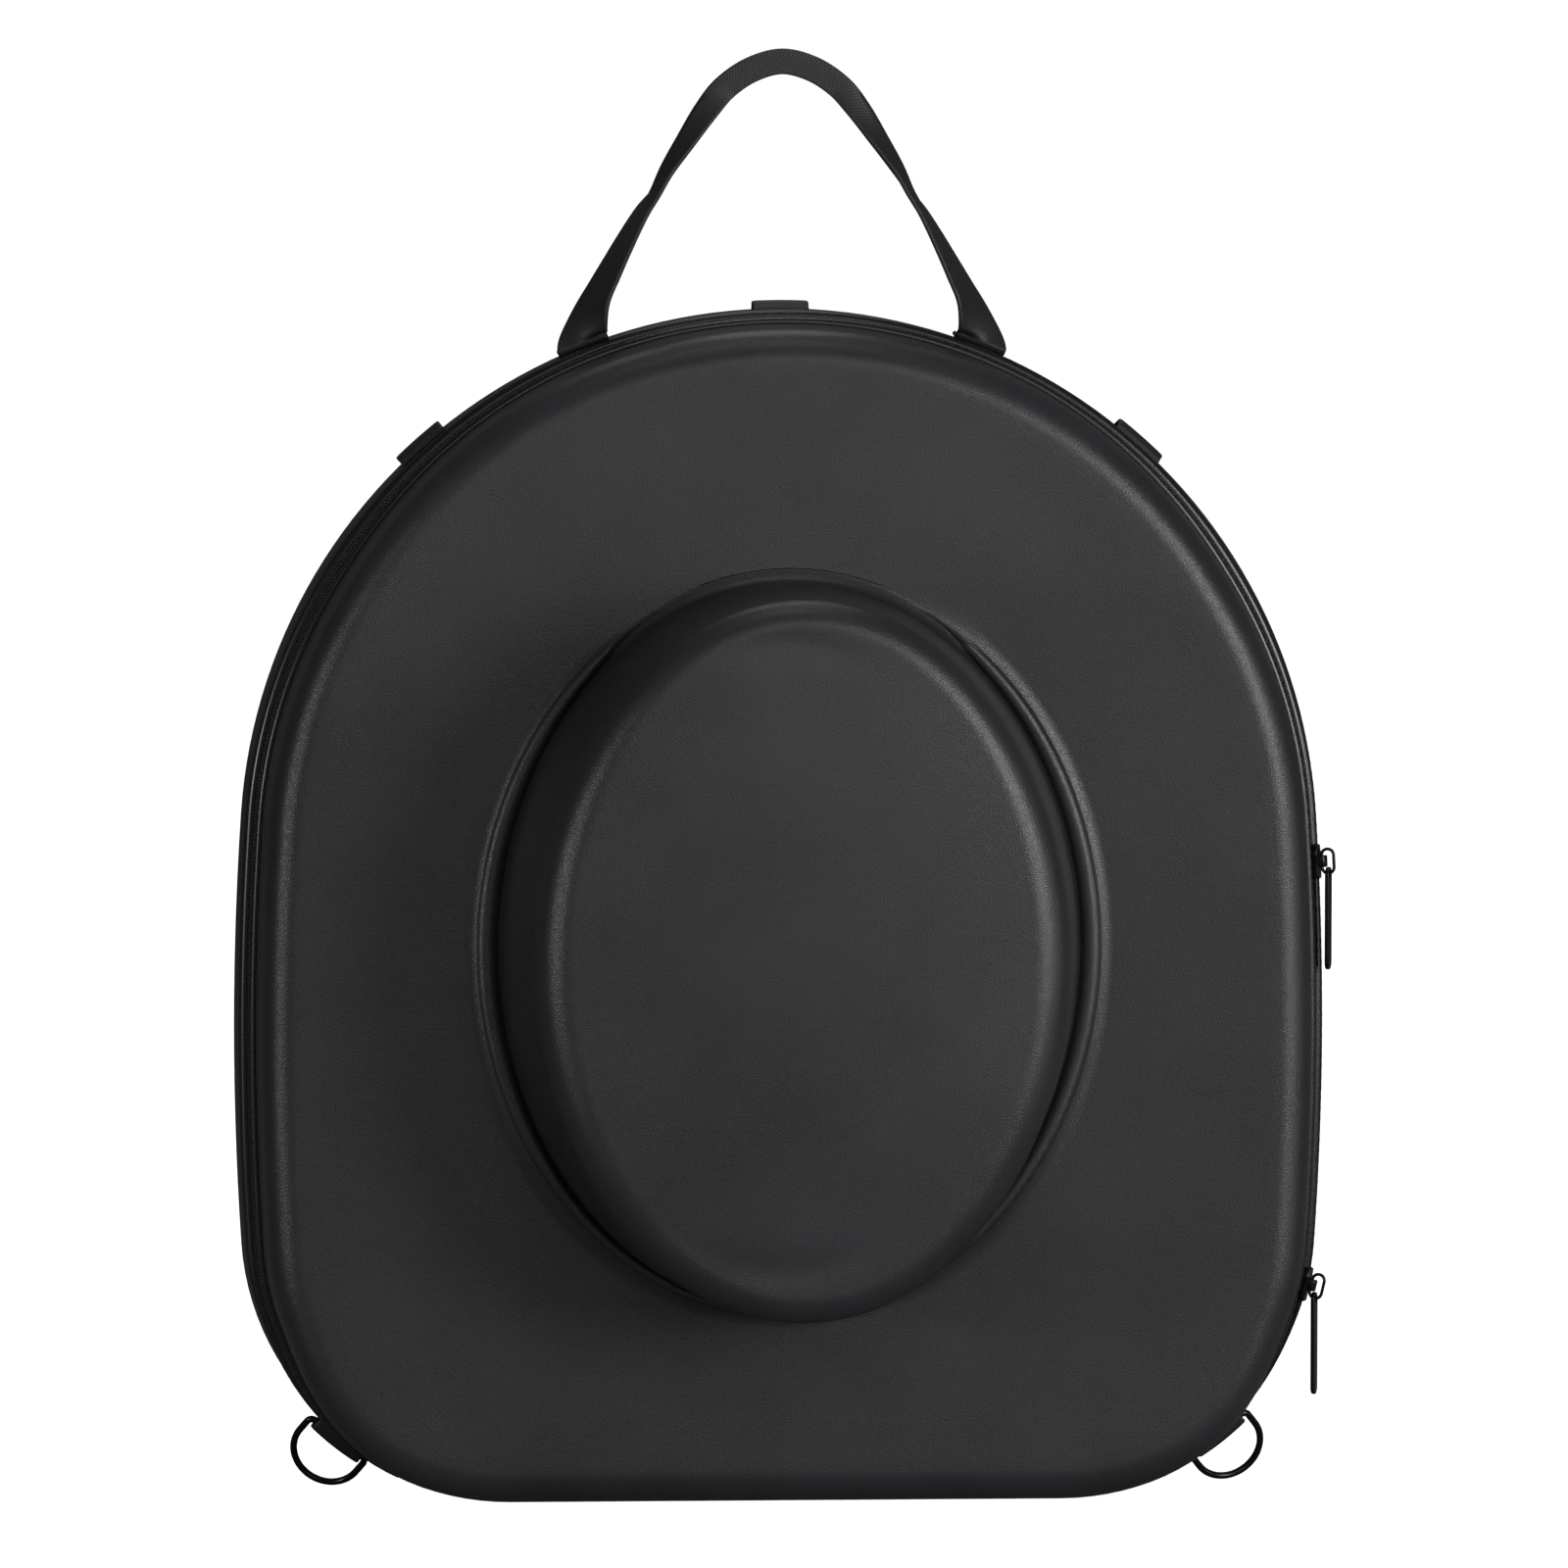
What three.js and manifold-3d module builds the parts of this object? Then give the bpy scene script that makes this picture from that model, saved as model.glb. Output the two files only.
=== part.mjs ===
// A hard hat travel case: two moulded shells closed by a zip, with a dome for the crown of the hat.
// Millimetres, +Z up. The dome faces -Y, the case stands on its flat bottom at z = 0,
// and y = 0 is the middle of the zip.

import * as THREE from "three";
import { mergeVertices } from "three/addons/utils/BufferGeometryUtils.js";
import Module from "manifold-3d";

const wasm = await Module();
wasm.setup();

// The body's outline, seen from the front
const bodyWidth = 434;
const bodyHeight = 470;
const cornerRadius = 105;
const sideBowDegrees = 3.8;

// The clear space kept between two pieces
const clearance = 0.3;

// The two shells; depths are measured from the middle of the zip
const frontDepth = 40;
const frontWall = 3;
const frontRound = 13;
const frontRimInset = 7.2;
const frontDraft = 1.6;
const backDepth = 35;
const backWall = 4.5;
const backRound = 12;
const backRimInset = 4.2;

// The dome for the crown, and the raised welt round its foot
const domeWidth = 248;
const domeTall = 296;
const domeCentreHeight = 222;
const domeHeight = 95;
const domeSideRound = 16;
const domeSideDraft = 9;
const domeEndRound = 11;
const domeEndDraft = 2.5;
const domeFaceLift = 3;
const domeCrowning = 3;
const weltWidth = 8.5;
const weltHeight = 2.4;
const weltEndWidth = 3;
const weltEndHeight = 0.6;

// The zip, its two bindings and the hinge strip under the case
const zipBand = 9.2;
const tapeThickness = 1.2;
const tapeSink = 0.4;
const coilWidth = 4.6;
const coilHeight = 1.6;
const bindingWidth = 3.4;
const bindingHeight = 2;
const hingeThickness = 1.6;
const zipEndDegrees = 24;

// The two sliders with their bails and pulls
const upperSliderHeight = 251;
const lowerSliderDegrees = 77;
const sliderLength = 14;
const sliderWidth = 7.6;
const sliderWaist = 6;
const sliderThickness = 2.6;
const crownWidth = 5.2;
const crownLength = 4.4;
const crownBar = 1.1;
const bailLength = 11;
const bailWidth = 6.2;
const bailWire = 1.3;
const pullLength = 41;
const pullWidth = 6.4;
const pullThickness = 1.6;
const pullHole = 3;
const pullPlay = 0.6;

// The carry handle, one length of webbing folded along its middle at the grip
const handleTop = 574;
const handleFootDegrees = 21.4;
const handleWidth = 21;
const handleThickness = 1.8;
const handleFootBack = 24.5;
const handleFootFront = 12.2;
const handleBend = 3;

// Webbing tabs across the side wall of the back shell
const tabWidth = 22;
const tabThickness = 1.6;
const tabLength = 16.8;
const tabFront = 14;
const tabLift = 1.4;
const sideTabDegrees = 41.5;

// The two D-rings and the tabs that hold them
const ringWire = 2.8;
const ringWidth = 30.8;
const ringHeight = 24.3;
const ringCorner = 2.4;
const ringPlay = 1;
const ringTabDegrees = 38;
const ringTabFront = 9.2;

const degree = Math.PI / 180;
const up = new THREE.Vector3(0, 0, 1);
const back = new THREE.Vector3(0, 1, 0);

// Sizes that follow from the ones above. Each long side is a shallow arc that leans out by the bow
// at its foot and in by the bow at its top, where it runs on into the corner and the round top.
const bow = sideBowDegrees * degree;
const bowSlope = Math.tan(bow / 2);
const topShare = Math.tan(45 * degree - bow / 2);
const sideFoot = cornerRadius * (1 - Math.sin(bow));
const roundAbove = topShare * bodyWidth / 2;
const sideHeight = (bodyHeight - sideFoot - roundAbove) / (1 - topShare * bowSlope / 2);
const sideEndWidth = bodyWidth / 2 - sideHeight * bowSlope / 2;
const topRadius = sideEndWidth / Math.cos(bow);
const halfFlat = sideEndWidth - cornerRadius * Math.cos(bow);
const sideRun = sideHeight * bow / Math.sin(bow);
const cornerTurn = 90 * degree - bow;
const cornerRun = cornerRadius * cornerTurn;
const rimDepth = zipBand / 2;

// The outline as legs walked from the middle of the bottom, turning left: straight, or an arc
const legs = [
  { run: halfFlat, turn: 0, steps: 2 },
  { run: cornerRun, turn: cornerTurn, steps: 10 },
  { run: sideRun, turn: 2 * bow, steps: 5 },
  { run: topRadius * 2 * cornerTurn, turn: 2 * cornerTurn, steps: 36 },
  { run: sideRun, turn: 2 * bow, steps: 5 },
  { run: cornerRun, turn: cornerTurn, steps: 10 },
  { run: halfFlat, turn: 0, steps: 2 },
];
const outlineRun = legs.reduce((sum, leg) => sum + leg.run, 0);
const topMiddle = outlineRun / 2;

// The point of the outline at a distance along it, with its outward normal and its forward tangent
function outlineAt(distance) {
  const spot = new THREE.Vector3();
  let heading = 0;
  let left = (distance + outlineRun) % outlineRun;
  for (const leg of legs) {
    const part = Math.min(left, leg.run);
    const turn = leg.turn * part / leg.run;
    if (leg.turn === 0) {
      spot.x += part * Math.cos(heading);
      spot.z += part * Math.sin(heading);
    } else {
      const radius = leg.run / leg.turn;
      spot.x += radius * (Math.sin(heading + turn) - Math.sin(heading));
      spot.z += radius * (Math.cos(heading) - Math.cos(heading + turn));
    }
    heading += turn;
    left -= part;
    if (left <= 0) {
      break;
    }
  }
  const tangent = new THREE.Vector3(Math.cos(heading), 0, Math.sin(heading));
  const normal = new THREE.Vector3(Math.sin(heading), 0, -Math.cos(heading));
  return { spot, normal, tangent };
}

// The distances along the outline where the shells have a section
function outlineStops() {
  const stops = [];
  let start = 0;
  for (const leg of legs) {
    for (let step = 0; step < leg.steps; step += 1) {
      stops.push(start + leg.run * step / leg.steps);
    }
    start += leg.run;
  }
  return stops;
}

const stops = outlineStops();

// The same distances between two ends, which may run through the middle of the bottom
function stopsBetween(from, to) {
  const least = 1;
  const laps = [...stops.map((stop) => stop - outlineRun), ...stops];
  return [from, ...laps.filter((stop) => stop > from + least && stop < to - least), to];
}

// The walls lean in at the sides, less so at the top, and stand upright at the flat bottom
function leanShare(normal) {
  const flat = -0.95;
  const full = -0.35;
  const easing = 0.5;
  const topLean = 0.5;
  const sides = THREE.MathUtils.smoothstep(normal.z, flat, full);
  return sides * (1 - (1 - topLean) * THREE.MathUtils.smoothstep(normal.z, easing, 1));
}

// Rows of a rounded edge: y goes on by the sine, the inset by one less the cosine
function roundedRows(side, start, lean, radius, inset, steps) {
  const rows = [];
  for (let step = 0; step <= steps; step += 1) {
    const angle = 90 * degree * step / steps;
    rows.push({
      y: side * (start + radius * Math.sin(angle)),
      lean,
      inset: inset + radius * (1 - Math.cos(angle)),
    });
  }
  return rows;
}

// The back wall swells from the rim to its widest line: shares of its depth and of the rim's inset
const backSwell = [
  { depth: 0, lean: 1 },
  { depth: 0.22, lean: 0.62 },
  { depth: 0.5, lean: 0.22 },
  { depth: 1, lean: 0 },
];

const frontStraight = frontDepth - frontRound;
const backStraight = backDepth - backRound;
const frontLean = frontRimInset + frontDraft;

// Each profile runs from the rim to the flat face
function frontProfile(inset, steps) {
  return [
    { y: -rimDepth, lean: frontRimInset, inset },
    ...roundedRows(-1, frontStraight, frontLean, frontRound - inset, inset, steps),
  ];
}

function backProfile(inset, steps) {
  const wall = backSwell.slice(0, -1).map((row) => ({
    y: THREE.MathUtils.lerp(rimDepth, backStraight, row.depth),
    lean: backRimInset * row.lean,
    inset,
  }));
  return [...wall, ...roundedRows(1, backStraight, 0, backRound - inset, inset, steps)];
}

const outerProfile = [...frontProfile(0, 4).reverse(), ...backProfile(0, 4)];

// How far the outer face stands inside the outline at a depth y
function wallRow(y) {
  const next = outerProfile.findIndex((row) => row.y >= y);
  const above = outerProfile[Math.max(next, 1)];
  const below = outerProfile[Math.max(next, 1) - 1];
  const share = (y - below.y) / (above.y - below.y);
  return {
    lean: THREE.MathUtils.lerp(below.lean, above.lean, share),
    inset: THREE.MathUtils.lerp(below.inset, above.inset, share),
  };
}

// A point at a distance along the outline and a depth y, standing out from the wall there
function onWall(distance, y, out) {
  const place = outlineAt(distance);
  const row = wallRow(y);
  const inset = row.lean * leanShare(place.normal) + row.inset - out;
  const point = place.spot.clone().addScaledVector(place.normal, -inset);
  point.y = y;
  return point;
}

// A whole loop round the case from a profile row
function outlineLoop(row) {
  return stops.map((stop) => {
    const place = outlineAt(stop);
    const inset = row.lean * leanShare(place.normal) + row.inset;
    const point = place.spot.clone().addScaledVector(place.normal, -inset);
    point.y = row.y;
    return point;
  });
}

// An oval loop round the dome, each point in line with the same stop of the outline. It stands
// inside the dome's foot by one inset at the two sides and by another above and below the dome,
// and is lifted a little on the way to the face.
function domeLoop({ sideInset, endInset, height, endHeight = height }) {
  const centre = new THREE.Vector3(0, 0, domeCentreHeight);
  const sideStart = 0.15;
  const sideFull = 0.75;
  return stops.map((stop) => {
    const way = outlineAt(stop).spot.sub(centre);
    way.y = 0;
    way.normalize();
    const across = way.x / (domeWidth / 2 - sideInset);
    const along = way.z / (domeTall / 2 - endInset);
    const point = centre.clone().addScaledVector(way, 1 / Math.hypot(across, along));
    const sideShare = THREE.MathUtils.smoothstep(Math.abs(way.x), sideStart, sideFull);
    point.y = -frontDepth - THREE.MathUtils.lerp(endHeight, height, sideShare);
    point.z += domeFaceLift * THREE.MathUtils.smoothstep(height, 0, domeHeight);
    return point;
  });
}

// Joins rows of points, each a closed loop, into one closed skin with its faces pointing out.
// The ends are closed by ladders across the loops, or by fans to two apexes, or joined to each other.
function skin(rows, { ring = false, apexes = null } = {}) {
  const count = rows[0].length;
  const points = rows.flat();
  const faces = [];
  const bands = ring ? rows.length : rows.length - 1;
  for (let band = 0; band < bands; band += 1) {
    const near = band * count;
    const far = ((band + 1) % rows.length) * count;
    for (let i = 0; i < count; i += 1) {
      const j = (i + 1) % count;
      faces.push([near + i, near + j, far + j], [near + i, far + j, far + i]);
    }
  }
  const last = (rows.length - 1) * count;
  if (apexes) {
    points.push(...apexes);
    for (let i = 0; i < count; i += 1) {
      const j = (i + 1) % count;
      faces.push([points.length - 2, j, i], [points.length - 1, last + i, last + j]);
    }
  } else if (!ring) {
    for (let i = 0; i < count / 2 - 1; i += 1) {
      const a = i + 1;
      const b = count - 2 - i;
      const c = count - 1 - i;
      faces.push([i, b, a], [i, c, b]);
      faces.push([last + i, last + a, last + b], [last + i, last + b, last + c]);
    }
  }
  return closedGeometry(points, faces);
}

// A geometry from points and faces, turned so that its faces point out
function closedGeometry(points, faces) {
  const cross = new THREE.Vector3();
  const volume = faces.reduce((sum, [a, b, c]) => (
    sum + points[a].dot(cross.crossVectors(points[b], points[c]))
  ), 0);
  const order = volume < 0 ? faces.map(([a, b, c]) => [a, c, b]) : faces;
  const geometry = new THREE.BufferGeometry().setFromPoints(points);
  geometry.setIndex(order.flat());
  geometry.computeVertexNormals();
  return geometry;
}

// Solids for joining and cutting
function toSolid(geometry) {
  const bare = geometry.clone();
  bare.deleteAttribute("normal");
  bare.deleteAttribute("uv");
  const merged = mergeVertices(bare);
  return new wasm.Manifold(new wasm.Mesh({
    numProp: 3,
    vertProperties: new Float32Array(merged.attributes.position.array),
    triVerts: new Uint32Array(merged.index.array),
  }));
}

function fromSolid(solid) {
  const mesh = solid.getMesh();
  const geometry = new THREE.BufferGeometry();
  geometry.setAttribute("position", new THREE.BufferAttribute(mesh.vertProperties, 3));
  geometry.setIndex(new THREE.BufferAttribute(mesh.triVerts, 1));
  geometry.computeVertexNormals();
  return geometry;
}

const finishes = {
  shell: { color: 0x38393d, roughness: 0.62, metalness: 0 },
  binding: { color: 0x2b2c2f, roughness: 0.6, metalness: 0 },
  webbing: { color: 0x1d1d1f, roughness: 0.85, metalness: 0 },
  coil: { color: 0x161617, roughness: 0.5, metalness: 0 },
  metal: { color: 0x131416, roughness: 0.25, metalness: 0.9 },
};

function addPiece(parent, name, geometry, finish) {
  const mesh = new THREE.Mesh(geometry, new THREE.MeshStandardMaterial(finishes[finish]));
  mesh.name = name;
  parent.add(mesh);
  return mesh;
}

// The front shell: a rounded tray whose floor rises into the dome, one wall thick all over
function frontShell() {
  const weltRows = [
    { across: 0, rise: 0 },
    { across: 0.28, rise: 0.85 },
    { across: 0.55, rise: 1 },
    { across: 0.84, rise: 0.7 },
    { across: 1, rise: 0.1 },
  ];
  const weltLoop = ({ across, rise }) => domeLoop({
    sideInset: weltWidth * across,
    endInset: weltEndWidth * across,
    height: weltHeight * rise,
    endHeight: weltEndHeight * rise,
  });
  const footShare = 1.1;
  const sideFootInset = footShare * weltWidth;
  const endFootInset = footShare * weltEndWidth;
  const footLoop = (inset, height) => domeLoop({
    sideInset: sideFootInset + inset,
    endInset: endFootInset + inset,
    height,
  });
  const shoulder = (inset, steps) => {
    const rows = [];
    for (let step = 0; step <= steps; step += 1) {
      const angle = 90 * degree * step / steps;
      const reach = (draft, round) => draft + inset + (round - inset) * (1 - Math.cos(angle));
      const climb = (round) => domeHeight - round + (round - inset) * Math.sin(angle);
      rows.push(domeLoop({
        sideInset: sideFootInset + reach(domeSideDraft, domeSideRound),
        endInset: endFootInset + reach(domeEndDraft, domeEndRound),
        height: climb(domeSideRound),
        endHeight: climb(domeEndRound),
      }));
    }
    return rows;
  };
  const sideFace = sideFootInset + domeSideDraft + domeSideRound;
  const endFace = endFootInset + domeEndDraft + domeEndRound;
  const faceMiddle = domeLoop({
    sideInset: THREE.MathUtils.lerp(sideFace, domeWidth / 2, 0.5),
    endInset: THREE.MathUtils.lerp(endFace, domeTall / 2, 0.5),
    height: domeHeight + domeCrowning * 0.75,
  });
  const outer = [
    ...frontProfile(0, 4).map(outlineLoop),
    ...weltRows.map(weltLoop),
    footLoop(0, weltEndHeight),
    ...shoulder(0, 4),
    faceMiddle,
  ];
  const inner = [
    ...shoulder(frontWall, 3).reverse(),
    footLoop(frontWall, -frontWall),
    ...frontProfile(frontWall, 3).reverse().map(outlineLoop),
  ];
  const apexes = [domeHeight + domeCrowning - frontWall, domeHeight + domeCrowning].map(
    (height) => new THREE.Vector3(0, -frontDepth - height, domeCentreHeight + domeFaceLift),
  );
  return skin([...inner, ...outer], { apexes });
}

// The back shell: a rounded tray with a flat back
function backShell() {
  const outer = backProfile(0, 4).map(outlineLoop);
  const inner = backProfile(backWall, 3).reverse().map(outlineLoop);
  const apexes = [backDepth - backWall, backDepth].map(
    (y) => new THREE.Vector3(0, y, bodyHeight / 2),
  );
  return skin([...inner, ...outer], { apexes });
}

// A section carried along the outline, its points given by depth y and distance out from the wall
function wallBand(section, from, to) {
  const rows = stopsBetween(from, to).map((stop) => (
    section.map(({ y, out }) => onWall(stop, y, out))
  ));
  return skin(rows);
}

// The zip runs up and over from one lower corner to the other, the hinge strip takes the rest
const zipEnd = halfFlat + cornerRadius * zipEndDegrees * degree;
const zipStart = zipEnd + clearance;
const zipStop = outlineRun - zipEnd - clearance;

function binding(side) {
  const middle = side * (rimDepth + bindingWidth / 2 - clearance);
  const shape = [
    { across: -0.5, rise: 0 },
    { across: -0.46, rise: 0.6 },
    { across: -0.2, rise: 1 },
    { across: 0.2, rise: 1 },
    { across: 0.46, rise: 0.6 },
    { across: 0.5, rise: 0 },
  ];
  const section = shape.map(({ across, rise }) => ({
    y: middle + bindingWidth * across,
    out: clearance + bindingHeight * rise,
  }));
  return wallBand(section, zipStart, zipStop);
}

function flatBand(halfWidth, top, thickness, from, to) {
  const section = [
    { y: -halfWidth, out: top },
    { y: halfWidth, out: top },
    { y: halfWidth, out: top - thickness },
    { y: -halfWidth, out: top - thickness },
  ];
  return wallBand(section, from, to);
}

function zipCoil() {
  const foot = clearance - tapeSink;
  const shape = [
    { across: -0.5, rise: 0 },
    { across: -0.36, rise: 1 },
    { across: 0.36, rise: 1 },
    { across: 0.5, rise: 0 },
  ];
  const section = shape.map(({ across, rise }) => ({
    y: coilWidth * across,
    out: foot + coilHeight * rise,
  }));
  return wallBand(section, zipStart, zipStop);
}

// Points on an arc in a flat drawing, first angle to last in degrees
function arcPoints(x, y, radius, from, to, steps) {
  const points = [];
  for (let step = 0; step <= steps; step += 1) {
    const angle = THREE.MathUtils.lerp(from, to, step / steps) * degree;
    points.push(new THREE.Vector2(x + radius * Math.cos(angle), y + radius * Math.sin(angle)));
  }
  return points;
}

// A closed loop of round wire through flat points, in the plane of two directions
function wireLoop(points, origin, across, along, wire, sides) {
  const lift = new THREE.Vector3().crossVectors(across, along).normalize();
  const path = points.map((point) => (
    origin.clone().addScaledVector(across, point.x).addScaledVector(along, point.y)
  ));
  const rows = path.map((point, i) => {
    const after = path[(i + 1) % path.length];
    const before = path[(i + path.length - 1) % path.length];
    const tangent = new THREE.Vector3().subVectors(after, before).normalize();
    const outward = new THREE.Vector3().crossVectors(tangent, lift);
    const row = [];
    for (let side = 0; side < sides; side += 1) {
      const angle = 2 * Math.PI * side / sides;
      row.push(point.clone()
        .addScaledVector(outward, wire / 2 * Math.cos(angle))
        .addScaledVector(lift, wire / 2 * Math.sin(angle)));
    }
    return row;
  });
  return skin(rows, { ring: true });
}

// A slider: a waisted plate over the coil and a crown bridging it, which the bail runs under.
// In its own frame +X points out from the wall and +Z runs up along the zip.
const sliderFoot = clearance - tapeSink + coilHeight + clearance;
const sliderTop = sliderFoot + sliderThickness;
const crownGap = bailWire + 2 * clearance;

// How far the bail's middle stands out, and the height of the eye in the pull's upper round end
const bailOut = sliderTop + crownGap - clearance + bailWidth / 2 - bailWire;
const pullEye = pullWidth / 2 - pullHole / 2 - bailWire;

function slider() {
  const halfLength = sliderLength / 2;
  const halfWidth = sliderWidth / 2;
  const halfWaist = sliderWaist / 2;
  const brow = halfLength - halfWidth / 2;
  const plan = new THREE.Shape();
  plan.moveTo(-halfWidth, brow);
  plan.quadraticCurveTo(-halfWidth, halfLength, 0, halfLength);
  plan.quadraticCurveTo(halfWidth, halfLength, halfWidth, brow);
  plan.lineTo(halfWaist, 0);
  plan.lineTo(halfWaist, -halfLength);
  plan.lineTo(-halfWaist, -halfLength);
  plan.lineTo(-halfWaist, 0);
  const plate = new THREE.ExtrudeGeometry(plan, {
    depth: sliderThickness,
    bevelEnabled: false,
    curveSegments: 4,
  });
  plate.applyMatrix4(new THREE.Matrix4().makeBasis(back, up, new THREE.Vector3(1, 0, 0)));
  plate.translate(sliderFoot, 0, 0);

  const overlap = sliderThickness / 2;
  const rise = crownGap + crownBar;
  const arch = new THREE.Shape();
  arch.moveTo(-overlap, -crownWidth / 2);
  arch.lineTo(rise - crownBar, -crownWidth / 2);
  arch.quadraticCurveTo(rise, -crownWidth / 2, rise, -crownWidth / 2 + crownBar);
  arch.lineTo(rise, crownWidth / 2 - crownBar);
  arch.quadraticCurveTo(rise, crownWidth / 2, rise - crownBar, crownWidth / 2);
  arch.lineTo(-overlap, crownWidth / 2);
  const tunnel = new THREE.Path();
  const tunnelHalf = crownWidth / 2 - crownBar;
  tunnel.moveTo(0, -tunnelHalf);
  tunnel.lineTo(0, tunnelHalf);
  tunnel.lineTo(crownGap, tunnelHalf);
  tunnel.lineTo(crownGap, -tunnelHalf);
  arch.holes.push(tunnel);
  const crown = new THREE.ExtrudeGeometry(arch, {
    depth: crownLength,
    bevelEnabled: false,
    curveSegments: 3,
  });
  crown.translate(sliderTop, 0, -crownLength / 2);
  return fromSolid(toSolid(plate).add(toSolid(crown)));
}

// The bail, an oval of wire under the crown
function bail() {
  const radius = (bailWidth - bailWire) / 2;
  const reach = (bailLength - bailWire) / 2 - radius;
  const points = [
    ...arcPoints(0, reach, radius, 0, 180, 8),
    ...arcPoints(0, -reach, radius, 180, 360, 8),
  ];
  const centre = new THREE.Vector3(bailOut, 0, 0);
  return wireLoop(points, centre, new THREE.Vector3(1, 0, 0), up, bailWire, 6);
}

// The pull, a thin plate with round ends that hangs straight down from the bail
function pull() {
  const endRadius = pullWidth / 2;
  const plate = new THREE.Shape([
    ...arcPoints(0, 0, endRadius, 0, 180, 10),
    ...arcPoints(0, -pullLength + 2 * endRadius, endRadius, 180, 360, 10),
  ]);
  plate.holes.push(new THREE.Path(arcPoints(0, pullEye, pullHole / 2, 0, 330, 11)));
  const geometry = new THREE.ExtrudeGeometry(plate, { depth: pullThickness, bevelEnabled: false });
  geometry.translate(0, 0, -pullThickness / 2);
  geometry.applyMatrix4(new THREE.Matrix4().makeBasis(back, up, new THREE.Vector3(1, 0, 0)));
  return geometry;
}

function addSlider(parent, name, distance) {
  const place = outlineAt(distance);
  const seat = new THREE.Group();
  seat.position.copy(onWall(distance, 0, 0));
  const slope = (frontRimInset - backRimInset) * leanShare(place.normal) / zipBand;
  seat.rotation.set(0, -Math.atan2(place.normal.z, place.normal.x), -Math.atan(slope));
  parent.add(seat);
  addPiece(seat, `${name}_slider`, slider(), "metal");
  addPiece(seat, `${name}_bail`, bail(), "metal");
  seat.updateMatrixWorld(true);
  const wireCentre = new THREE.Vector3(bailOut, 0, -(bailLength - bailWire) / 2);
  const hook = seat.localToWorld(wireCentre);
  const plate = addPiece(parent, `${name}_pull`, pull(), "metal");
  const rest = bailWire / 2 + pullPlay - pullHole / 2;
  plate.position.set(hook.x, hook.y, hook.z + rest - pullEye);
  plate.rotation.z = seat.rotation.z;
}

// Webbing laid over the wall along the depth of the case, from a centre line of y and out
function wallStrip(middle, width, line, thickness, steps) {
  const normals = line.map((point, i) => {
    const before = line[Math.max(i - 1, 0)];
    const after = line[Math.min(i + 1, line.length - 1)];
    return new THREE.Vector2(before.out - after.out, after.y - before.y).normalize();
  });
  const offset = (side) => line.map((point, i) => ({
    y: point.y + side * normals[i].x * thickness / 2,
    out: point.out + side * normals[i].y * thickness / 2,
  }));
  const section = [...offset(1), ...offset(-1).reverse()];
  const rows = [];
  for (let step = 0; step <= steps; step += 1) {
    const distance = middle + width * (step / steps - 0.5);
    rows.push(section.map(({ y, out }) => onWall(distance, y, out)));
  }
  return skin(rows);
}

// A tab is sewn down at both ends and stands off the wall between them
function tab(middle, front, lift) {
  const shape = [
    { along: 0, rise: 0 },
    { along: 0.16, rise: 0 },
    { along: 0.3, rise: 1 },
    { along: 0.7, rise: 1 },
    { along: 0.84, rise: 0 },
    { along: 1, rise: 0 },
  ];
  const line = shape.map(({ along, rise }) => ({
    y: front + tabLength * along,
    out: clearance + tabThickness / 2 + lift * rise,
  }));
  return wallStrip(middle, tabWidth, line, tabThickness, 4);
}

// The D-ring, its bar under the tab; it swings back about the bar until it clears the ground
function dRing(middle) {
  const halfWidth = (ringWidth - ringWire) / 2;
  const straight = ringHeight - ringWire - halfWidth;
  const points = [
    ...arcPoints(halfWidth - ringCorner, ringCorner, ringCorner, -90, 0, 3),
    ...arcPoints(0, straight, halfWidth, 0, 180, 12),
    ...arcPoints(ringCorner - halfWidth, ringCorner, ringCorner, 180, 270, 3),
  ];
  const place = outlineAt(middle);
  const barDepth = ringTabFront + tabLength / 2;
  const bar = onWall(middle, barDepth, clearance + ringPlay + ringWire / 2);
  const along = new THREE.Vector3();
  const stepDegrees = 0.5;
  let swing = 0;
  let lowest = -Infinity;
  while (lowest < clearance && swing < 90) {
    swing += stepDegrees;
    along.copy(place.normal).multiplyScalar(Math.cos(swing * degree));
    along.addScaledVector(back, Math.sin(swing * degree));
    const heights = points.map((point) => (
      bar.z + place.tangent.z * point.x + along.z * point.y - ringWire / 2
    ));
    lowest = Math.min(...heights);
  }
  return wireLoop(points, bar, place.tangent, along, ringWire, 8);
}

// One half of the handle from its foot to the top: out and up are shares of its half width and rise,
// turn is the share of a quarter turn from facing front to edge-on, fold the share of a full fold,
// and skew the share of the slant that the foot has on the round top of the case
const handleRows = [
  { out: 1, up: 0, turn: 0, fold: 0, skew: 1 },
  { out: 0.984, up: 0.044, turn: 0.42, fold: 0, skew: 0.5 },
  { out: 0.932, up: 0.149, turn: 0.7, fold: 0, skew: 0.05 },
  { out: 0.859, up: 0.254, turn: 0.785, fold: 0, skew: 0 },
  { out: 0.783, up: 0.359, turn: 0.845, fold: 0, skew: 0 },
  { out: 0.704, up: 0.463, turn: 0.905, fold: 0.03, skew: 0 },
  { out: 0.64, up: 0.535, turn: 0.96, fold: 0.13, skew: 0 },
  { out: 0.575, up: 0.62, turn: 1, fold: 0.283, skew: 0 },
  { out: 0.478, up: 0.725, turn: 1, fold: 0.483, skew: 0 },
  { out: 0.376, up: 0.83, turn: 1, fold: 0.75, skew: 0 },
  { out: 0.28, up: 0.91, turn: 1, fold: 1, skew: 0 },
  { out: 0.15, up: 0.972, turn: 1, fold: 1, skew: 0 },
  { out: 0, up: 1, turn: 1, fold: 1, skew: 0 },
];

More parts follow.
